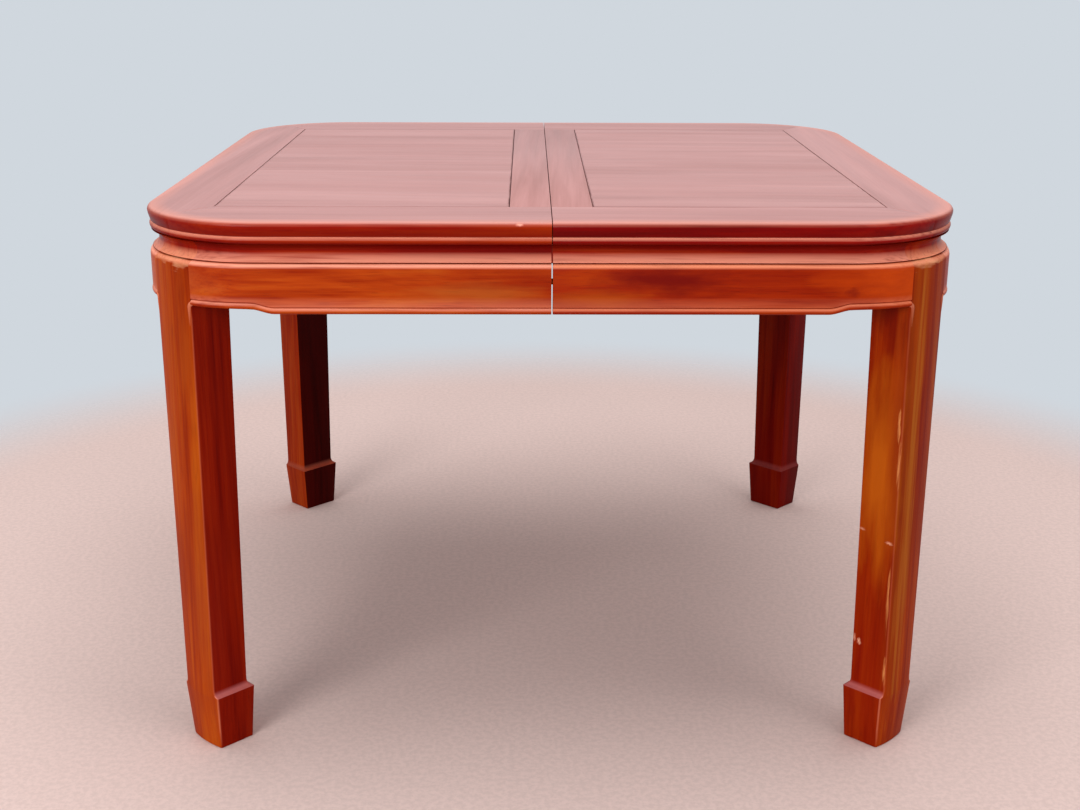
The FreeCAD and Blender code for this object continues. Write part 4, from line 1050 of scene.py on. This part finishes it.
studio = {
    "floor": (217, 192, 184), "floorReach": 9.0, "fadeFrom": 1.3, "fadeTo": 1.85, "floorDrop": 0.0004,
    "weave": (120, 120, 120), "cloud": (2.5, 2.5, 2.5), "aim": (0, 0, 0.45),
    "wall": (208, 215, 222), "ambient": 0.54, "ambientTone": (238, 240, 246),
    "key": ((-2.2, -3.6, 1.8), 2.2, 108), "fill": ((3.0, -2.8, 1.6), 2.4, 36),
    "overhead": ((0.1, 0.2, 4.2), 4.4, 130),
}


def layFloor():
    # a pale carpet that fades into the wall
    material, tree, shader = newMaterial("paleCarpet")
    place = addNode(tree, "TexCoord").outputs["Object"]
    weave = addNoise(tree, stretched(tree, place, studio["weave"]), 4.0, 0.65)
    soft = addNoise(tree, stretched(tree, place, studio["cloud"]), 2.0, 0.5)
    base = tone(*studio["floor"])
    shade = mixColour(tree, addRange(tree, weave, 0.40, 0.60, 0.0, 0.5), base, darker(base, 0.8))
    shade = mixColour(tree, addRange(tree, soft, 0.35, 0.65, 0.0, 0.10), shade, darker(base, 0.88))
    tree.links.new(shade, shader.inputs["Base Color"])
    bump = addNode(tree, "Bump", {"Strength": 0.3, "Distance": 0.001, "Height": weave}).outputs[0]
    tree.links.new(bump, shader.inputs["Normal"])
    shader.inputs["Roughness"].default_value = 0.95
    shader.inputs["Specular IOR Level"].default_value = 0.1
    away = addNode(tree, "VectorMath", {0: place}, operation="LENGTH").outputs["Value"]
    fade = {"Value": away, "From Min": studio["fadeFrom"], "From Max": studio["fadeTo"]}
    gone = addNode(tree, "MapRange", fade, interpolation_type="SMOOTHSTEP").outputs[0]
    clear = addNode(tree, "BsdfTransparent").outputs[0]
    mix = addNode(tree, "MixShader", {0: gone, 1: shader.outputs[0], 2: clear}).outputs[0]
    tree.links.new(mix, tree.nodes["Material Output"].inputs["Surface"])
    bm = bmesh.new()
    bmesh.ops.create_grid(bm, x_segments=8, y_segments=8, size=studio["floorReach"])
    bmesh.ops.translate(bm, verts=bm.verts, vec=(0, 0, -studio["floorDrop"]))
    mesh = bpy.data.meshes.new("carpet")
    bm.to_mesh(mesh)
    bm.free()
    mesh.materials.append(material)
    floor = bpy.data.objects.new("carpet", mesh)
    bpy.context.scene.collection.objects.link(floor)


def lightRoom():
    # the wall's tone behind, a softer one that lights, and three lamps
    world = bpy.data.worlds.new("studio")
    world.use_nodes = True
    bpy.context.scene.world = world
    tree = world.node_tree
    wall = {"Color": tone(*studio["wall"]), "Strength": 1.0}
    air = {"Color": tone(*studio["ambientTone"]), "Strength": studio["ambient"]}
    seen, lit = addNode(tree, "Background", wall).outputs[0], addNode(tree, "Background", air).outputs[0]
    path = addNode(tree, "LightPath").outputs
    shown = addMath(tree, "MAXIMUM", path["Is Camera Ray"], path["Is Glossy Ray"])
    shown = addMath(tree, "MAXIMUM", shown, path["Is Transmission Ray"])
    mix = addNode(tree, "MixShader", {0: shown, 1: lit, 2: seen}).outputs[0]
    tree.links.new(mix, tree.nodes["World Output"].inputs["Surface"])
    for name in ("key", "fill", "overhead"):
        place, reach, power = studio[name]
        lamp = bpy.data.lights.new(name, "AREA")
        lamp.shape = "DISK"
        lamp.size = reach
        lamp.energy = power
        light = bpy.data.objects.new(name, lamp)
        light.location = place
        light.rotation_euler = (Vector(studio["aim"]) - Vector(place)).to_track_quat("-Z", "Y").to_euler()
        bpy.context.scene.collection.objects.link(light)


lens = {
    "place": (-0.03220, -2.4682, 1.1266), "yaw": 0.00880, "pitch": 0.30050, "roll": 0.00340,
    "focal": 49.94, "sensor": 36,
}


def setCamera():
    data = bpy.data.cameras.new("view")
    data.sensor_width = lens["sensor"]
    data.sensor_fit = "HORIZONTAL"
    data.lens = lens["focal"]
    camera = bpy.data.objects.new("view", data)
    turn = Matrix.Rotation(-lens["yaw"], 3, "Z") @ Matrix.Rotation(math.pi / 2 - lens["pitch"], 3, "X")
    camera.rotation_euler = (turn @ Matrix.Rotation(lens["roll"], 3, "Z")).to_euler()
    camera.location = lens["place"]
    bpy.context.scene.collection.objects.link(camera)
    bpy.context.scene.camera = camera


layFloor()
lightRoom()
setCamera()
bpy.context.scene.view_settings.view_transform = "Standard"
print("floor, light and camera done")
